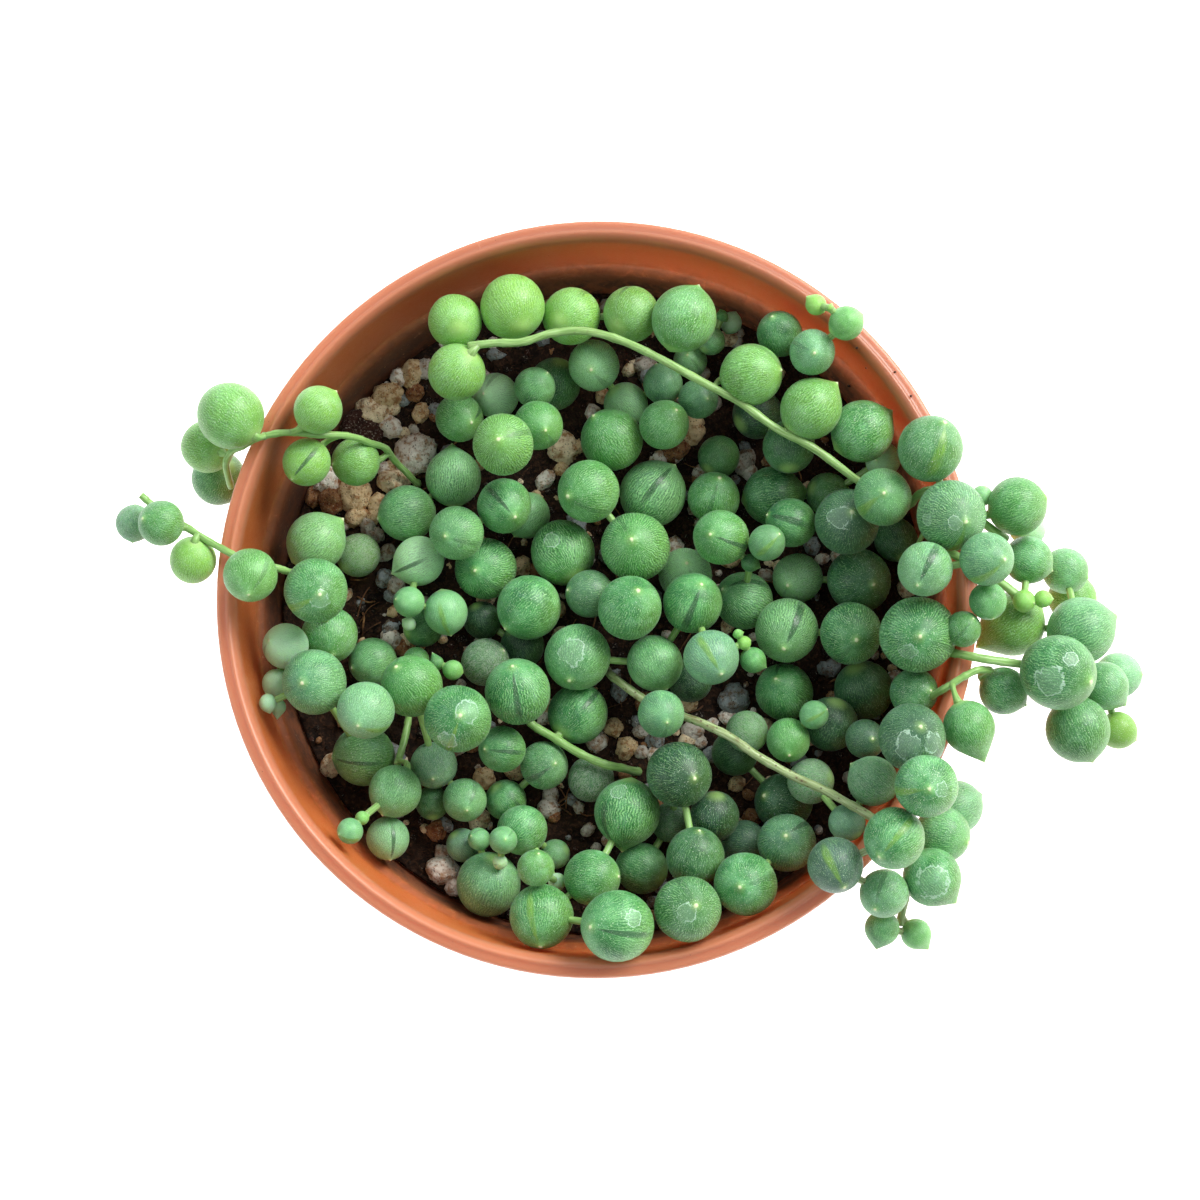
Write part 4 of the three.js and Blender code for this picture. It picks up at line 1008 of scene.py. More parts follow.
    scars = f.noise(f.vector(x * 7, y * 7, angle * 2.5 + seed * 70), 1.0, 5.0, 0.7, 1.2)
    flecks = (1 - abs(scars - 0.5).ease(0.0, 0.04)) * dull
    skin = f.mix(skin, SKIN["scar"], flecks * 0.6)
    dots = (1 - f.cells(offset, 9.0).ease(0.03, 0.1)) * patches.ease(0.46, 0.6)
    skin = f.mix(skin, SKIN["scar"], dots * 0.5 + specks.ease(0.66, 0.74) * bloomy * 0.7)

    point = angle + (patches - 0.5) * 0.12
    skin = f.mix(skin, SKIN["tip"], (1 - point.ease(0.0, 0.26)) * 0.4)
    skin = f.mix(skin, SKIN["nib"], (1 - point.ease(0.025, 0.08)) * 0.85)
    skin = f.mix(skin, SKIN["base"], angle.ease(2.6, 3.0) * 0.6)

    height = ridges * (0.3 + streaky * 0.35) + grains * 0.25 - flecks * 0.8 - glass * 0.5
    relief = f.bump(height, 0.08, 0.7)
    roughness = 0.4 + bloom * 0.2 + dull * 0.12 - glass * 0.12 + (grains - 0.5) * 0.2
    return f.surface(
        Base_Color=skin, Roughness=roughness, Normal=relief, Subsurface_Weight=0.35,
        Subsurface_Radius=(0.5, 1.0, 0.25), Subsurface_Scale=0.0014, Specular_IOR_Level=0.5,
        Sheen_Weight=0.12, Sheen_Roughness=0.3, Sheen_Tint=(0.85, 1.0, 0.88, 1.0))


def stem_finish():
    """A bare stem: green with paler lengthwise lines, brown scars where leaves have dropped, and
    paler and woodier with age. Its own axes are (cos a, sin a, distance along in mm)."""
    f = Finish("stem_skin")
    x, y, along = f.parts(f.attribute("leaf"))
    age, scarred, brown = f.parts(f.attribute("look"))
    lines = f.noise(f.vector(x * 2.4, y * 2.4, along * 0.35), 1.0, 3.0, 0.6)
    blotch = f.noise(f.vector(x * 0.5, y * 0.5, along * 0.3), 1.0, 3.0, 0.6)
    spots = f.cells(f.vector(x * 0.8, y * 0.8, along * 1.1), 1.0)
    skin = f.ramp(
        lines, [(0.35, tint(116, 162, 82)), (0.55, tint(140, 188, 104)), (0.75, tint(170, 208, 138))])
    aged = f.ramp(
        lines, [(0.35, tint(122, 142, 88)), (0.55, tint(160, 180, 126)), (0.75, tint(194, 206, 166))])
    skin = f.mix(skin, aged, age)
    skin = f.mix(skin, tint(112, 86, 58), blotch.ease(0.55, 0.72) * (0.15 + scarred * 0.6))
    skin = f.mix(skin, tint(84, 60, 40), (1 - spots.ease(0.1, 0.26)) * (0.12 + scarred * 0.75))
    skin = f.mix(skin, tint(96, 68, 46), brown)
    relief = f.bump(lines * 0.6 + blotch * 0.4, 0.08, 0.6)
    return f.surface(
        Base_Color=skin, Roughness=0.38 + (lines - 0.5) * 0.3, Normal=relief, Subsurface_Weight=0.2,
        Subsurface_Radius=(0.6, 1.0, 0.3), Subsurface_Scale=0.0008, Sheen_Weight=0.1)


def pot_finish():
    """Satin moulded terracotta-coloured plastic: soft flow marks round the axis, a fine grain and
    scuffs. Inside, it is darker near the mix and crusted with specks. The inner collar has painted
    shade on the side towards -x, +y, and painted light on the side towards +x, +y, for light that
    shines through the plastic, where the top of the rim is painted darker as painted shade. The
    inside is where the distance from the axis is less than the wall's."""
    f = Finish("terracotta_plastic")
    place = f.object_place()
    x, y, z = f.parts(place)
    out = (x * x + y * y + 1e-6) ** 0.5
    flow = f.noise(f.vector(x * 0.02, y * 0.02, z * 0.22), 1.0, 3.0, 0.5)
    grain = f.noise(place, 2.6, 3.0, 0.6)
    fine = f.noise(place, 9.0, 2.0, 0.6)
    scuff = f.noise(place, 0.5, 5.0, 0.68, 0.6)
    body = f.ramp(flow, [(0.3, tint(192, 104, 52)), (0.5, tint(199, 111, 58)), (0.72, tint(206, 119, 66))])
    body = f.mix(body, tint(180, 96, 52), grain.ease(0.55, 0.75) * 0.25)
    # The top of the rim is painted a paler salmon: partly its own tone, partly a painted sheen for the light
    # that the flange catches.
    rim = z.ease(POT_HEIGHT - 2.6, POT_HEIGHT - 1.3)
    body = f.mix(body, tint(192, 130, 106), rim * 0.6)
    within = 1 - (out - inner_wall(z)).ease(WALL - 0.45, WALL - 0.1)
    inside = (1 - out.ease(inner_wall(STEP_TOP), RIM_RADIUS - 1)) * within * z.ease(0.4, BASE_THICKNESS - 0.3)
    line = z + (scuff - 0.5) * 8
    near_mix = (1 - line.ease(MIX_LEVEL + 4, STEP_TOP + 3)) * inside
    # Painted shade: the inside of the collar towards -x, +y is painted dark, for the shade that falls there.
    painted_shade_side = ((y * 0.5 - x * 0.87) / out).ease(0.3, 1.0) * inside
    # Painted light and painted shade towards +x, +y: the inside of the collar is painted paler, for light
    # that shines through the plastic, and the top of the rim is painted darker, as painted shade.
    painted_light_and_shade_side = ((x * 0.5 + y * 0.87) / out).ease(0.1, 0.9)
    body = f.mix(body, tint(212, 144, 104), painted_light_and_shade_side * inside * 0.6)
    body = f.mix(body, tint(158, 98, 72), painted_light_and_shade_side * rim * 0.6)
    body = f.mix(body, tint(92, 50, 26), painted_shade_side * 0.7)
    body = f.mix(body, tint(48, 28, 20), near_mix * (0.72 + scuff.ease(0.4, 0.6) * 0.2))
    crusts = (1 - f.cells(place, 1.1).ease(0.05, 0.22)) * scuff.ease(0.5, 0.6) * inside
    body = f.mix(body, tint(172, 132, 98), crusts * (1 - z.ease(STEP_TOP - 2, STEP_TOP + 5)) * 0.7)
    body = f.mix(body, tint(236, 190, 168), scuff.ease(0.62, 0.75) * 0.14)
    spots = f.cells(place, 0.8)
    body = f.mix(body, tint(84, 52, 38), (1 - spots.ease(0.03, 0.1)) * scuff.ease(0.52, 0.58) * 0.6)
    relief = f.bump(grain * 0.5 + fine * 0.35 + scuff * 0.3, 0.05, 0.6)
    return f.surface(
        Base_Color=body, Roughness=0.36 + (grain - 0.5) * 0.25 + near_mix * 0.3, Normal=relief,
        Specular_IOR_Level=0.55, Subsurface_Weight=0.75, Subsurface_Radius=(1.0, 0.95, 0.9),
        Subsurface_Scale=0.005)


def mix_finish():
    """Moist peat mix: near-black brown crumbs with fibres and pale mineral dust."""
    f = Finish("peat_mix")
    place = f.object_place()
    crumbs = f.noise(place, 1.5, 6.0, 0.72, 0.5)
    clods = f.cells(place, 0.55, output="Color")
    shade = f.parts(clods)[0]
    threads = f.noise(f.vector_maths("MULTIPLY", place, (0.5, 2.6, 1.0)), 1.0, 4.0, 0.65, 1.5)
    soil = f.ramp(crumbs, [
        (0.34, tint(10, 7, 6)), (0.5, tint(34, 22, 16)), (0.6, tint(84, 56, 38)), (0.72, tint(134, 96, 66))])
    soil = f.mix(soil, f.ramp(shade, [(0.0, tint(16, 11, 9)), (1.0, tint(78, 54, 38))]), 0.4)
    soil = f.mix(soil, tint(104, 70, 44), threads.ease(0.6, 0.7) * 0.6)
    dust = f.cells(place, 1.6)
    soil = f.mix(soil, tint(168, 150, 124), (1 - dust.ease(0.06, 0.16)) * crumbs.ease(0.5, 0.58) * 0.5)
    relief = f.bump(crumbs, 0.8, 1.0)
    return f.surface(Base_Color=soil, Roughness=0.92 - crumbs * 0.2, Normal=relief, Specular_IOR_Level=0.25)


def grit_finish():
    """Pumice and bark grit. Its colour comes with each grain; pits and dark pores lie over it."""
    f = Finish("pumice_grit")
    place = f.object_place()
    own = f.node("ShaderNodeAttribute", {"attribute_name": "tone"}, output="Color")
    pits = f.cells(place, 2.4)
    pores = f.noise(place, 3.4, 5.0, 0.7)
    stain = f.noise(place, 0.9, 4.0, 0.6)
    shade = f.times(own, tint(176, 128, 84), stain.ease(0.44, 0.66) * 0.85)
    shade = f.mix(shade, tint(250, 240, 222), pores.ease(0.54, 0.7) * 0.45)
    shade = f.times(shade, tint(70, 54, 42), (1 - pits.ease(0.1, 0.3)) * pores.ease(0.35, 0.55) * 0.85)
    relief = f.bump(pits.least(0.4) + pores * 0.5, 0.4, 0.9)
    return f.surface(Base_Color=shade, Roughness=0.88, Normal=relief, Specular_IOR_Level=0.3)


def fibre_finish():
    """Dry peat fibre, brown with paler lengths."""
    f = Finish("peat_fibre")
    place = f.object_place()
    length = f.noise(place, 0.6, 3.0, 0.6)
    skin = f.ramp(length, [(0.35, tint(70, 44, 26)), (0.55, tint(118, 80, 46)), (0.75, tint(168, 128, 82))])
    relief = f.bump(f.noise(place, 6.0, 2.0), 0.08)
    return f.surface(Base_Color=skin, Roughness=0.8, Normal=relief)


PEARL_SKIN, STEM_SKIN, POT_SKIN = pearl_finish(), stem_finish(), pot_finish()
MIX_SKIN, GRIT_SKIN, FIBRE_SKIN = mix_finish(), grit_finish(), fibre_finish()

# ------------------------------------------------------------------ the pearls and their strings

STALK_LENGTH = 1.7
# The side of each pearl that gets the painted glow: right and a little down in the view.
PAINTED_GLOW_SIDE = unit(RIGHT - 0.35 * UPWARD)
STEM_WIDTHS = {
    "string_over_left_back": 0.48, "string_over_left": 0.5, "string_over_right_low": 0.5,
    "string_left_low": 0.5, "string_back_arch": 0.56,
}
PEARL_RINGS = 22
PEARL_SIDES = 30
TIP_POINT, NIB, EGG, NECK = 0.145, 0.035, 0.04, 0.08
NIB_SPREAD, EGG_SPREAD, NECK_SPREAD = 0.05, 0.7, 0.2


def view_direction(du, dv):
    """The outward direction at a place on a ball, given in radii across the view from its middle."""
    flat = min(np.hypot(du, dv), 0.98)
    scale = flat / max(np.hypot(du, dv), 1e-9)
    return RIGHT * du * scale - UPWARD * dv * scale - AHEAD * np.sqrt(1 - flat * flat)


def pearl_axes(pearl):
    """The pearl's own axes as rows: x to its window, y across, z to its tip."""
    spec = WINDOW_OF.get((pearl.u, pearl.v))
    if spec:
        aim = view_direction((spec[0] - pearl.u) / pearl.size, (spec[1] - pearl.v) / pearl.size)
    else:
        turn = 2 * np.pi * draw(pearl.seed * 5.3)
        aim = RIGHT * np.cos(turn) + UPWARD * np.sin(turn) + 0.3 * AHEAD
    x = unit(aim - pearl.tip * (aim @ pearl.tip))
    return np.stack([x, np.cross(pearl.tip, x), pearl.tip])


def pearl_surface(pearl, axes):
    """A pearl: for an angle t from its tip and a turn a about it, the distance from its centre is
    R (1 + cone + nib e^(-(t/a)^2) + egg e^(-(t/b)^2) + neck e^(-(pi-t)/c) + slow waves). The cone
    is the one that touches the ball and ends at the tip, 1/cos(t0 - t) - 1 up to its circle of
    contact t0, and the waves make the pearl a little lopsided. Rings lie closer towards the tip."""
    share = (np.arange(PEARL_RINGS) + 1) / (PEARL_RINGS + 1)
    polar = np.concatenate([[0], np.pi * share**1.3, [np.pi]])[:, None]
    turn = (2 * np.pi * np.arange(PEARL_SIDES) / PEARL_SIDES)[None, :]
    own = [draw(pearl.seed * k) for k in (3.3, 6.1, 9.7, 12.9)]
    point = max(pearl.reach - 1, TIP_POINT) - NIB - EGG
    wave = 0.014 * np.sin(polar) * np.sin(turn + 6.28 * own[0])
    wave = wave + 0.012 * np.sin(polar)**2 * np.sin(2 * turn + 6.28 * own[1])
    wave = wave + 0.006 * np.sin(polar)**3 * np.sin(5 * turn + 6.28 * own[2])
    wave = wave + 0.02 * (own[3] - 0.5) * np.cos(2 * polar)
    contact = np.arccos(1 / (1 + point))
    cone = 1 / np.cos(np.maximum(contact - polar, 0)) - 1
    nib, egg = NIB * np.exp(-(polar / NIB_SPREAD)**2), EGG * np.exp(-(polar / EGG_SPREAD)**2)
    neck = NECK * np.exp(-(np.pi - polar) / NECK_SPREAD)
    far = 1 + cone + nib + egg + neck + wave
    local = ball_directions(polar, turn)
    points = pearl.centre + pearl.radius * far[..., None] * (local @ axes)
    return one_point_at_poles(points), one_point_at_poles(local)


def ring_mark(pearl, axes, local, spec):
    """A water ring's own flat coordinates at each point, in ring radii from its middle."""
    u, v, size = spec
    middle = view_direction((u - pearl.u) / pearl.size, (v - pearl.v) / pearl.size)
    side = unit(np.cross(middle, pearl.tip))
    outward = local @ axes
    flat = np.stack([outward @ side, outward @ np.cross(middle, side), np.zeros(len(local))], axis=-1)
    return np.where((outward @ middle > 0)[:, None], flat * pearl.size / size, 9.0)


def add_pearl(batch, pearl):
    key = (pearl.u, pearl.v)
    axes = pearl_axes(pearl)
    points, local = pearl_surface(pearl, axes)
    painted_glow_facing = local @ axes @ PAINTED_GLOW_SIDE
    _, _, width, kind = WINDOW_OF.get(key, (0, 0, 0.07 + 0.06 * draw(pearl.seed * 4.1), "faint"))
    outer = ease(np.hypot(*pearl.centre[:2]), 15, 50)
    bloom = 0.35 + 0.5 * draw(pearl.seed * 8.9) + 0.3 * outer
    rings = (RINGS.get(key, []) + [None, None])[:2]
    marks = [ring_mark(pearl, axes, local, spec) if spec else (9, 9, 9) for spec in rings]
    batch.add(
        points, closed_faces(PEARL_RINGS, PEARL_SIDES), 0, leaf=local,
        look=(YOUNG.get(key, 0), PAINTED_SHADING.get(key, 0), DULL.get(key, 0)),
        window=(width, kind == "yellow", WINDOW_STRENGTH[kind]),
        wear=(0.9 if key in STREAKY else 0.3 * draw(pearl.seed * 2.7), bloom, draw(pearl.seed * 1.3)),
        hue=np.stack(np.broadcast_arrays(MELLOW.get(key, 0), BLUE.get(key, 0), painted_glow_facing), axis=-1),
        ring_a=marks[0], ring_b=marks[1])


def stem_radii(count, seed, width):
    """A stem's radius along its length: even, with slow waves and a swelling at each leaf scar."""
    place = np.arange(count)
    wave = 0.03 * np.sin(place * 0.9 + seed) + 0.02 * np.sin(place * 0.37 + 2 * seed)
    return width * (1 + wave + 0.1 * np.exp(-((place % 9 - 4) / 0.9)**2))


def add_tube(batch, path, radii, sides, look):
    points, where, faces = tube(path, radii, sides)
    batch.add(points, faces, 1, leaf=where, look=look)


def links_of(string):
    """The shortest links that hold the string together: each pearl is joined to the nearest thing
    that is already on the string, a point of its stem or another pearl."""
    reached = [(point, 0.0, None) for point in string.path]
    left = list(string.pearls)
    if not reached:
        first = left.pop(0)
        reached.append((first.centre, first.radius, first))
    links = []
    while left:
        centres = np.array([pearl.centre for pearl in left])
        starts = np.array([point for point, _, _ in reached])
        gaps = np.linalg.norm(centres[:, None] - starts, axis=-1)
        gaps -= np.array([pearl.radius for pearl in left])[:, None]
        gaps -= np.array([sink for _, sink, _ in reached])
        nearest, start = np.unravel_index(np.argmin(gaps), gaps.shape)
        pearl = left.pop(nearest)
        links.append((reached[start], pearl))
        reached.append((pearl.centre, pearl.radius, pearl))
    return links


def stalk_start(path, start, pearl):
    """Where a stalk leaves the stem: the stem's point nearest to a place a little behind the
    pearl's base, among those not much farther from the pearl than the nearest one."""
    wish = pearl.centre - pearl.tip * (pearl.radius + STALK_LENGTH)
    away = np.linalg.norm(path - pearl.centre, axis=1)
    near = path[away < np.linalg.norm(start - pearl.centre) + STALK_LENGTH]
    return near[np.argmin(np.linalg.norm(near - wish, axis=1))]


def add_stalk(batch, start, pearl, look):
    """A tapered stalk from a point of the stem to the pearl's base, arriving along its axis, with
    its radius r0 + (r1 - r0) e^(-d/0.7) for a distance d in mm from the pearl. Where the base is on
    the far side, it reaches the near side of the pearl instead."""
    toward = unit(start - pearl.centre)
    base = -pearl.tip
    if toward @ base < 0.15:
        base = unit(toward + 0.4 * base)
    end = pearl.centre + base * pearl.radius * 0.96
    reach = np.linalg.norm(end - start)
    path = bent_line(start, start + (end - start) * 0.3, end + base * min(0.45 * reach, 2.2), end, 12)
    share = np.linspace(0, 1, 12)
    thin, wide = min(0.34, 0.12 * pearl.radius), min(0.2 * pearl.radius, 0.85)
    radii = thin + 0.22 * np.exp(-share * reach / 0.5) + (wide - thin) * np.exp(-(1 - share) * reach / 0.7)
    add_tube(batch, path, radii, 10, look)


def add_string(string):
    """One string as one piece: pearls, bare stem, stalks, the hidden links and the root."""
    batch = Batch("leaf", "look", "window", "wear", "hue", "ring_a", "ring_b")
    for pearl in string.pearls:
        add_pearl(batch, pearl)
    aged = {"string_old": (1.0, 0.9, 0.0), "string_back_arch": (0.3, 0.15, 0.0)}
    look = aged.get(string.name, (0.1, 0.05, 0.0))
    if string.route:
        stem = smooth_line(string.route, 10)
        width = STEM_WIDTHS.get(string.name, STEM_RADIUS)
        add_tube(batch, stem, stem_radii(len(stem), string.first.seed, width), 12, look)
    for (start, sink, other), pearl in links_of(string):
        if other is None:
            add_stalk(batch, stalk_start(stem, start, pearl), pearl, look)
        else:
            drop = np.array([0, 0, -0.35 * min(pearl.radius, other.radius)])
            path = bent_line(start, start * 0.65 + pearl.centre * 0.35 + drop,
                             start * 0.35 + pearl.centre * 0.65 + drop, pearl.centre, 7)
            add_tube(batch, path, 0.5, 8, look)
    if not string.route or min(string.path[0][2], string.path[-1][2]) > MIX_LEVEL - 2:
        centre = string.first.centre
        inset = centre[:2] * min(1, ROOT_REACH / np.hypot(*centre[:2]))
        level = mix_top(*inset)
        route = [centre, [*inset, level + 1], [*inset, level - ROOT_DEPTH]]
        add_tube(batch, smooth_line(route, 6), STEM_RADIUS, 10, look)
    piece = batch.piece(f"grown_{string.name}", "pearls", [PEARL_SKIN, STEM_SKIN])
    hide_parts(string.name)
    return piece


plant = grow_plant()
for string in plant:
    add_string(string)
PEARLS = [pearl for string in plant for pearl in string.pearls]

# ------------------------------------------------------------------ the pot

POT_TURN_STEPS = 128


def rounded(corners, radius, steps=5):
    """A section with each inner corner replaced by a quadratic arc that starts and ends `radius`
    away from it along its two edges, or nearly half an edge away where the edge is short."""
    corners = np.asarray(corners, float)
    made = [corners[:1]]
    for before, corner, after in zip(corners[:-2], corners[1:-1], corners[2:]):
        back, onward = before - corner, after - corner
        lengths = np.linalg.norm(back), np.linalg.norm(onward)
        start = corner + back * min(radius / lengths[0], 0.48)
        end = corner + onward * min(radius / lengths[1], 0.48)
        t = np.linspace(0, 1, steps)[:, None]
        made.append((1 - t)**2 * start + 2 * (1 - t) * t * corner + t**2 * end)
    made.append(corners[-1:])
    return np.vstack(made)


def make_pot():
    """The pot: a section of (radius, height) turned about the axis, its corners rounded. The drain
    holes are cut through its floor."""
    outer_step = inner_wall(STEP_TOP - COLLAR_STEP) + WALL
    section = np.vstack([
        [(0, 0), (BASE_RADIUS - 7, 0), (BASE_RADIUS - 6.4, 0.5)],
        [(BASE_RADIUS - 3.2, 0.5), (BASE_RADIUS - 2.6, 0)],
        [(BASE_RADIUS - 0.9, 0), (BASE_RADIUS, 1), (outer_step, STEP_TOP - COLLAR_STEP - 1)],
        [(outer_step + 1, STEP_TOP), (RIM_RADIUS - 1.25, POT_HEIGHT - LIP_DROP - 0.5)],
        [(RIM_RADIUS, POT_HEIGHT - LIP_DROP), (RIM_RADIUS, POT_HEIGHT - 1.0)],
        [(RIM_RADIUS - 0.25, POT_HEIGHT - 0.5), (RIM_RADIUS - 1.3, POT_HEIGHT - 0.42)],
        [(RIM_RADIUS - 1.55, POT_HEIGHT - 0.1), (RIM_RADIUS - 1.95, POT_HEIGHT - 0.1)],
        [(RIM_RADIUS - RIM_LIP, POT_HEIGHT - 0.9), (RIM_RADIUS - RIM_LIP - 0.25, POT_HEIGHT - 2.2)],
        [(RIM_RADIUS - RIM_LIP - COLLAR_TAPER, STEP_TOP)],
        [(inner_wall(STEP_TOP - COLLAR_STEP), STEP_TOP - COLLAR_STEP)],
        [(inner_wall(BASE_THICKNESS + 2) - 0.1, BASE_THICKNESS + 2)],
        [(inner_wall(BASE_THICKNESS) - 2, BASE_THICKNESS)],
        [(0, BASE_THICKNESS)],
    ])
    section = rounded(section, 0.45)[1:-1]
    turn = 2 * np.pi * np.arange(POT_TURN_STEPS) / POT_TURN_STEPS
    rings = np.stack(np.broadcast_arrays(
        section[:, :1] * np.cos(turn), section[:, :1] * np.sin(turn), section[:, 1:]), axis=-1)
    points = np.vstack([[0, 0, 0], rings.reshape(-1, 3), [0, 0, BASE_THICKNESS]])
    pot = mesh_piece("turned_pot", points, closed_faces(len(section), POT_TURN_STEPS), [POT_SKIN])
    drill = Batch()
    for turn in 2 * np.pi * (np.arange(DRAIN_HOLES) + 0.5) / DRAIN_HOLES:
        across = np.array([np.cos(turn), np.sin(turn), 0]) * DRAIN_CIRCLE
        depths = np.array([-1, BASE_THICKNESS / 2, BASE_THICKNESS + 1])
        path = across + depths[:, None] * np.array([0, 0, 1])
        rod, _, faces = tube(path, DRAIN_RADIUS, 32)
        drill.add(rod, faces)
    cutter = drill.piece("drain_drill", "pot", [POT_SKIN])
    cut = pot.modifiers.new("drain_holes", "BOOLEAN")
    cut.object, cut.operation, cut.solver = cutter, "DIFFERENCE", "EXACT"
    bpy.context.view_layer.update()
    graph = bpy.context.evaluated_depsgraph_get()
    bored = bpy.data.meshes.new_from_object(pot.evaluated_get(graph))
    pot.modifiers.clear()
    pot.data = bored
    bpy.data.objects.remove(cutter)
    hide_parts("pot")
    return pot


make_pot()

# ------------------------------------------------------------------ the potting mix

MIX_SIDE = 230
PEARL_CENTRES = np.array([pearl.centre for pearl in PEARLS])
PEARL_RADII = np.array([pearl.radius for pearl in PEARLS])


def crumbly_top(x, y):
    """The mix's surface: its level waves, clods and crumbs from two sizes of rounded cells, and
    fine roughness, pressed down under each pearl that rests near it."""
    flat = np.stack([x, y], axis=-1)
    bend = np.stack([value_noise(flat * 0.5, 3), value_noise(flat * 0.5, 4)], axis=-1)
    clod, clod_own = crumb_noise(flat * 0.33 + bend * 0.8, 11)
    crumb, crumb_own = crumb_noise(flat * 0.85 + bend * 0.6, 12)
    height = 1.1 * (0.35 + 0.65 * clod_own) * np.sqrt(np.clip(1 - (clod / 0.85)**2, 0, 1))
    height = height + 0.55 * (0.3 + 0.7 * crumb_own) * np.sqrt(np.clip(1 - (crumb / 0.75)**2, 0, 1))
    height = height + 0.35 * rough_noise(flat * 2.2, 21, 3) - 0.9
    top = mix_top(x, y) + height
    for centre, radius in zip(PEARL_CENTRES, PEARL_RADII):
        if centre[2] - radius < MIX_LEVEL + 3:
            away = (x - centre[0])**2 + (y - centre[1])**2
            under = centre[2] - np.sqrt(np.clip((radius + 0.1)**2 - away, 0, None))
            top = np.where(away < radius**2, np.minimum(top, under), top)
    return top


def make_mix():
    """The mix: a square of points (a, b) from -1 to 1 carried to a disc by x = a sqrt(1 - b^2/2),
    y = b sqrt(1 - a^2/2), lifted to its crumbly top, and closed by a skirt and a flat bottom."""
    span = np.linspace(-1, 1, MIX_SIDE)
    a, b = np.meshgrid(span, span, indexing="ij")
    reach = inner_wall(MIX_LEVEL) - MIX_GAP
    x = a * np.sqrt(1 - b * b / 2) * reach
    y = b * np.sqrt(1 - a * a / 2) * reach
    out = np.hypot(x, y) / reach
    top = crumbly_top(x, y)
    top = np.where(out > 0.995, np.minimum(top, mix_top(x, y) - 0.2), top)
    index = np.arange(MIX_SIDE**2).reshape(MIX_SIDE, MIX_SIDE)
    quads = np.stack([index[:-1, :-1], index[1:, :-1], index[1:, 1:], index[:-1, 1:]], axis=-1)
    border = np.concatenate([index[:-1, 0], index[-1, :-1], index[:0:-1, -1], index[0, :0:-1]])
    low = BASE_THICKNESS + MIX_GAP
    foot_reach = (inner_wall(low) - MIX_GAP - 2.4) / reach
    points = np.stack([x, y, top], axis=-1).reshape(-1, 3)
    foot = points[border] * [foot_reach, foot_reach, 0] + [0, 0, low]
    ring = MIX_SIDE**2 + np.arange(len(border))
    skirt = np.stack([border, ring, np.roll(ring, -1), np.roll(border, -1)], axis=-1)
    middle = MIX_SIDE**2 + len(border)
    bottom = np.stack([ring, np.full_like(ring, middle), np.roll(ring, -1)], axis=-1)
    points = np.vstack([points, foot, [0, 0, low]])
    mix = mesh_piece("crumbly_mix", points, [quads.reshape(-1, 4), skirt, bottom], [MIX_SKIN])
    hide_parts("potting_mix")
    return mix


make_mix()

# ------------------------------------------------------------------ grit, crumbs and fibres on the mix

# A size in mm for each unit of a grain's seen radius, and the seeds of what is strewn.
GRIT_SCALE, BARK_SCALE, SPECK_SCALE = 0.172, 0.165, 0.136
BARK_SEED, SPECK_SEED = 400, 3000
LOOSE_GRIT, LOOSE_CRUMBS, LOOSE_FIBRES = range(500, 1000), range(1000, 1900), range(2000, 2090)

GRIT_TONES = {
    "white": tint(248, 242, 230), "cream": tint(240, 222, 186), "beige": tint(222, 196, 152),
    "grey": tint(198, 192, 180), "slate": tint(146, 156, 158), "brown": tint(156, 112, 74),
    "bark": tint(58, 30, 20), "peat": tint(34, 22, 15),
}


def on_the_mix(u, v, lift):
    """The point seen at u, v that lies `lift` above the mix's level surface."""
    height = -MIX_DEPTH_BELOW_RIM
    for _ in range(4):
        point = seen_at(u, v, height)
        height = mix_top(point[0], point[1]) + lift - POT_HEIGHT
    return seen_at(u, v, height)


def add_grain(batch, place, size, seed, tone, rings, sides, flatness=0.75):
    """A grain: a ball stretched by seeded amounts and cut by noise and by flat facets, so that its
    distance from the centre is the least of a noisy radius and the distance to a few planes."""
    polar = (np.pi * (np.arange(rings) + 1) / (rings + 1))[:, None]
    turn = (2 * np.pi * np.arange(sides) / sides)[None, :]
    local = np.vstack([[0, 0, 1], ball_directions(polar, turn).reshape(-1, 3), [0, 0, -1]])
    far = 0.74 + 0.62 * rough_noise(local * 2.2 + seed * 3.7, seed, 3)
    normals = unit(np.stack([draw(seed * 7.7 + np.arange(9) * k) - 0.5 for k in (1.1, 2.3, 3.9)], axis=-1))
    cuts = 0.8 + 0.3 * draw(seed * 5.5 + np.arange(9))
    facing = local @ normals.T
    planes = np.where(facing > 0.05, cuts / np.maximum(facing, 0.05), 9).min(axis=1)
    far = np.minimum(far, planes) + 0.3 * (rough_noise(local * 4.5 + seed, seed + 40, 2) - 0.5)
    stretch = np.array([1 + 0.25 * (draw(seed * 2.1) - 0.5), 1 - 0.3 * draw(seed * 2.9), flatness])
    spin = 2 * np.pi * draw(seed * 4.3)
    turned = np.array([[np.cos(spin), np.sin(spin), 0], [-np.sin(spin), np.cos(spin), 0], [0, 0, 1]])
    points = place + size * (far[:, None] * local * stretch) @ turned
    batch.add(points, closed_faces(rings, sides), 0, tone=GRIT_TONES[tone][:3])


def clear_of_pearls(place, size):
    return (np.linalg.norm(PEARL_CENTRES - place, axis=1) > PEARL_RADII + size * 0.8).all()


def scattered(seeds, least, more, lift):
    """Seeded places on the mix that are clear of the pearls, each with its seed and a size from
    least to least + more, and `lift` sizes above the mix's level surface."""
    for seed in seeds:
        size = least + more * draw(seed * 3.1)**2
        reach = (inner_wall(MIX_LEVEL) - size - 0.4) * np.sqrt(draw(seed * 5.7))
        turn = 2 * np.pi * draw(seed * 7.3)
        x, y = reach * np.cos(turn), reach * np.sin(turn)
        place = np.array([x, y, mix_top(x, y) + lift * size])
        if clear_of_pearls(place, size):
            yield seed, size, place


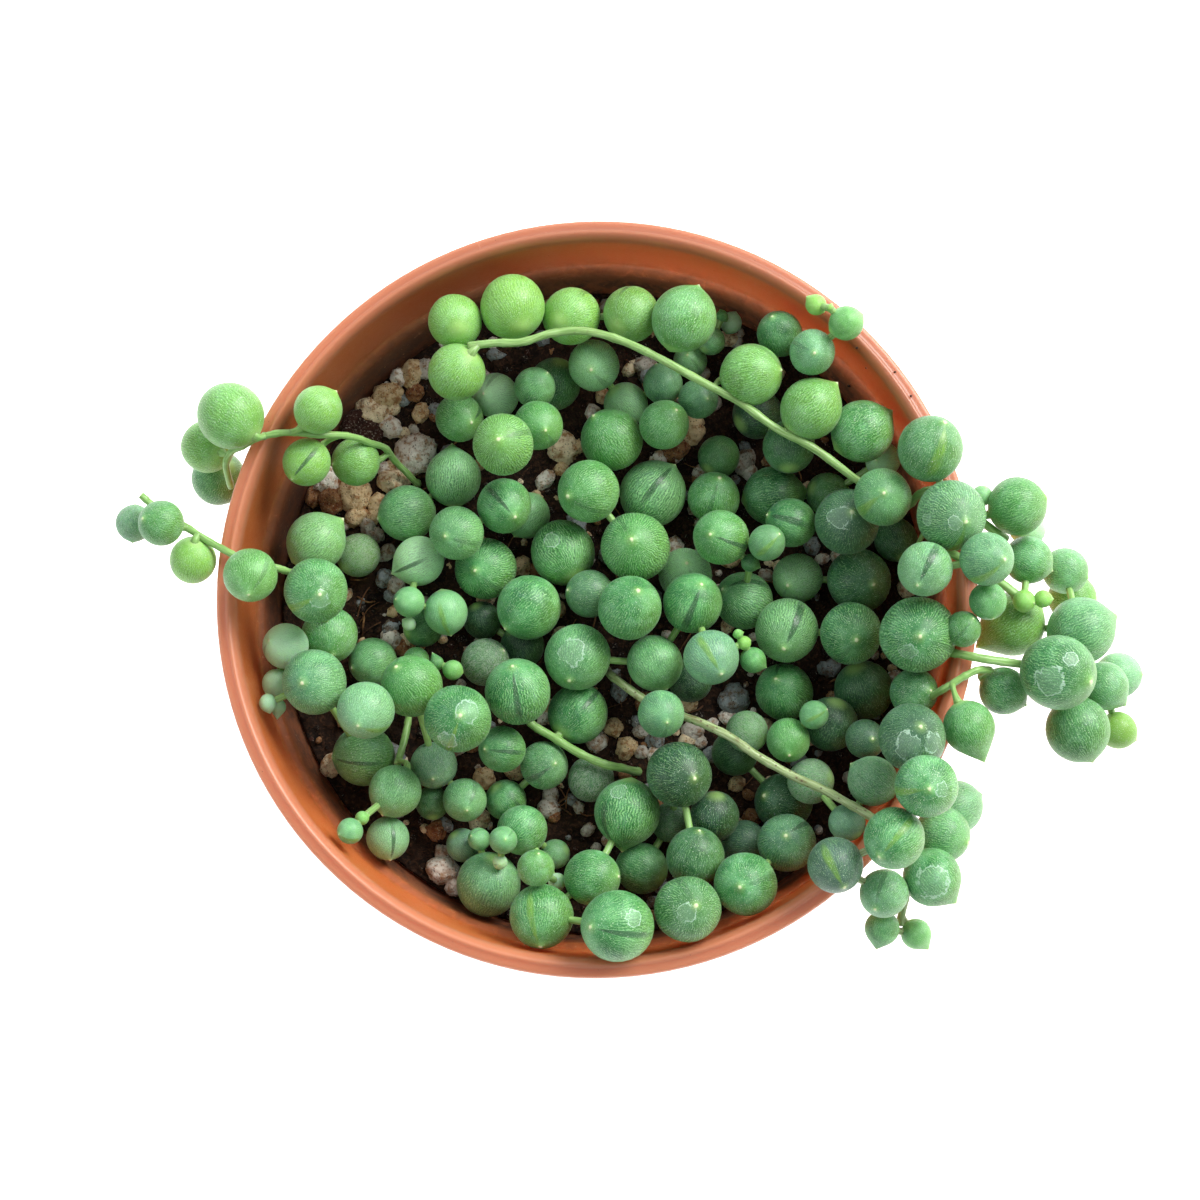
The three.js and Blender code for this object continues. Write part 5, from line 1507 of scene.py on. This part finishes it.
def make_grit():
    """The grit: the grains that are seen, at their places, then seeded ones in the rest."""
    grains = Batch("tone")
    for seed, (u, v, radius, tone) in enumerate(GRIT, start=1):
        size = radius * GRIT_SCALE
        place = on_the_mix(u, v, 0.3 * size)
        room = inner_wall(MIX_LEVEL) - size
        place[:2] *= min(1, room / np.hypot(place[0], place[1]))
        add_grain(grains, place, size, seed, tone, 16, 24)
    u, v, radius = CHUNK_OF_BARK
    add_grain(grains, on_the_mix(u, v, 0.6), radius * BARK_SCALE, BARK_SEED, "bark", 12, 18, 0.5)
    tones = ["beige", "grey", "cream", "brown", "white", "slate"]
    for seed, size, place in scattered(LOOSE_GRIT, 0.5, 1.2, 0.2):
        add_grain(grains, place, size, seed, tones[int(6 * draw(seed * 9.1))], 7, 10)
    return grains.piece("pumice_grit", "potting_mix", [GRIT_SKIN])


def make_crumbs():
    """Loose peat crumbs of a few faces each, at seeded places on the mix."""
    crumbs = Batch("tone")
    for seed, size, place in scattered(LOOSE_CRUMBS, 0.3, 0.55, 0.3):
        add_grain(crumbs, place, size, seed, "peat" if draw(seed) < 0.8 else "bark", 4, 7)
    return crumbs.piece("peat_crumbs", "potting_mix", [GRIT_SKIN], smooth=False)


# Where long peat fibres are seen: (u, v, turn in degrees, length in mm).
FIBRES = [
    (556, 800, 35, 7), (566, 808, 20, 6), (560, 812, -30, 6), (548, 806, 60, 5), (572, 798, 75, 5),
    (364, 604, 70, 7), (370, 615, 50, 6), (358, 622, 95, 5), (374, 628, 30, 5), (366, 596, -20, 4),
    (585, 806, -25, 5), (800, 575, 40, 5), (660, 752, 10, 5), (398, 660, 60, 5),
]


def make_fibres():
    """Peat fibres: thin tubes along bent lines that lie on the mix and dip into it at both ends."""
    fibres = Batch()
    rows = [(*on_the_mix(u, v, 0)[:2], turn, length) for u, v, turn, length in FIBRES]
    for seed in LOOSE_FIBRES:
        reach, way = 42 * np.sqrt(draw(seed * 5.7)), 2 * np.pi * draw(seed * 7.3)
        rows.append((reach * np.cos(way), reach * np.sin(way), 360 * draw(seed * 3.3), 2 + 4 * draw(seed)))
    for seed, (x, y, turn, length) in enumerate(rows):
        way = np.radians(turn)
        step = np.array([np.cos(way), np.sin(way)]) * length / 2
        cross = np.array([-step[1], step[0]]) * (draw(seed * 2.2) - 0.5)
        t = np.linspace(-1, 1, 13)[:, None]
        flat = np.array([x, y]) + step * t + cross * (1 - t * t) + 0.12 * cross * np.sin(5 * t)
        lift = 0.75 - 1.5 * t[:, 0]**2 + 0.4 * draw(seed * 6.6) * np.cos(3 * t[:, 0])
        path = np.column_stack([flat, mix_top(flat[:, 0], flat[:, 1]) + lift])
        near = np.linalg.norm(PEARL_CENTRES[:, None] - path, axis=-1) < PEARL_RADII[:, None] + 0.2
        if not near.any() and np.hypot(*flat.T).max() < 44:
            points, _, faces = tube(path, 0.07 + 0.09 * draw(seed * 8.8), 6)
            fibres.add(points, faces)
    return fibres.piece("peat_fibres", "potting_mix", [FIBRE_SKIN])


# Crumbs of mix that lie on the rim and collar: (u, v, radius, height above the rim).
RIM_SPECKS = [
    (857, 348, 1.6, -0.2), (895, 372, 1.3, -0.3), (911, 396, 1.3, -0.2), (849, 386, 1.5, -6.0),
    (878, 360, 1.0, -0.3), (866, 368, 0.9, -1.2),
]


def make_rim_specks():
    specks = Batch("tone")
    for seed, (u, v, radius, height) in enumerate(RIM_SPECKS, start=SPECK_SEED):
        add_grain(specks, seen_at(u, v, height), radius * SPECK_SCALE, seed, "bark", 5, 8, 0.6)
    return specks.piece("rim_specks", "potting_mix", [GRIT_SKIN])


make_grit()
make_crumbs()
make_fibres()
make_rim_specks()

# ------------------------------------------------------------------ floor, light and camera
# Places and sizes here are in metres, and lamps are in watts.

FLOOR_REACH = 4.0
FLOOR_GLOW = 0.8
SKY_STRENGTH = 0.52
KEY_WATTS, BACK_WATTS, SIDE_WATTS = 22.8, 2.0, 1.6


def make_floor():
    f = Finish("pale_floor")
    place = f.object_place()
    shade = f.ramp(f.noise(place, 0.01, 2.0), [(0.3, tint(246, 246, 245)), (0.7, tint(252, 252, 251))])
    finish = f.surface(Base_Color=shade, Roughness=0.9, Specular_IOR_Level=0.1,
                       Emission_Color=(1.0, 1.0, 1.0, 1.0), Emission_Strength=FLOOR_GLOW)
    mesh = bpy.data.meshes.new("floor")
    corners = [(-FLOOR_REACH, -FLOOR_REACH, 0), (FLOOR_REACH, -FLOOR_REACH, 0),
               (FLOOR_REACH, FLOOR_REACH, 0), (-FLOOR_REACH, FLOOR_REACH, 0)]
    mesh.from_pydata(corners, [], [(0, 1, 2, 3)])
    mesh.materials.append(finish)
    floor = bpy.data.objects.new("floor", mesh)
    bpy.context.scene.collection.objects.link(floor)


def add_light(name, place, size, watts, colour=(1, 1, 1)):
    """A square soft light at a place in metres that faces the plant."""
    lamp = bpy.data.lights.new(name, "AREA")
    lamp.shape, lamp.size, lamp.energy, lamp.color = "SQUARE", size, watts, colour
    light = bpy.data.objects.new(name, lamp)
    light.location = place
    light.rotation_euler = (Vector((0, 0, 0.08)) - Vector(place)).to_track_quat("-Z", "Y").to_euler()
    bpy.context.scene.collection.objects.link(light)


def make_studio():
    world = bpy.data.worlds.new("studio")
    world.use_nodes = True
    background = world.node_tree.nodes["Background"]
    background.inputs["Color"].default_value = (0.95, 0.99, 1.0, 1.0)
    background.inputs["Strength"].default_value = SKY_STRENGTH
    bpy.context.scene.world = world
    add_light("key", (0.74, 0.66, 0.85), 0.7, KEY_WATTS, (1.0, 0.99, 0.97))
    add_light("back", (-0.2, 0.95, 0.8), 0.6, BACK_WATTS)
    add_light("side", (-1.05, -0.15, 0.75), 0.6, SIDE_WATTS)
    bpy.context.scene.view_settings.view_transform = "Standard"
    bpy.context.scene.view_settings.look = "None"


def make_camera():
    camera = bpy.data.cameras.new("camera")
    camera.sensor_fit, camera.sensor_width = "HORIZONTAL", SENSOR_WIDTH
    camera.lens = VIEW_FOCUS / VIEW_SIZE * SENSOR_WIDTH
    camera.clip_start, camera.clip_end = 0.02, 20
    eye = bpy.data.objects.new("camera", camera)
    eye.location = EYE * MM
    turned = Matrix(np.column_stack([RIGHT, UPWARD, -AHEAD]).tolist())
    eye.rotation_euler = turned.to_euler()
    bpy.context.scene.collection.objects.link(eye)
    bpy.context.scene.camera = eye


make_floor()
make_studio()
make_camera()

bpy.context.view_layer.update()
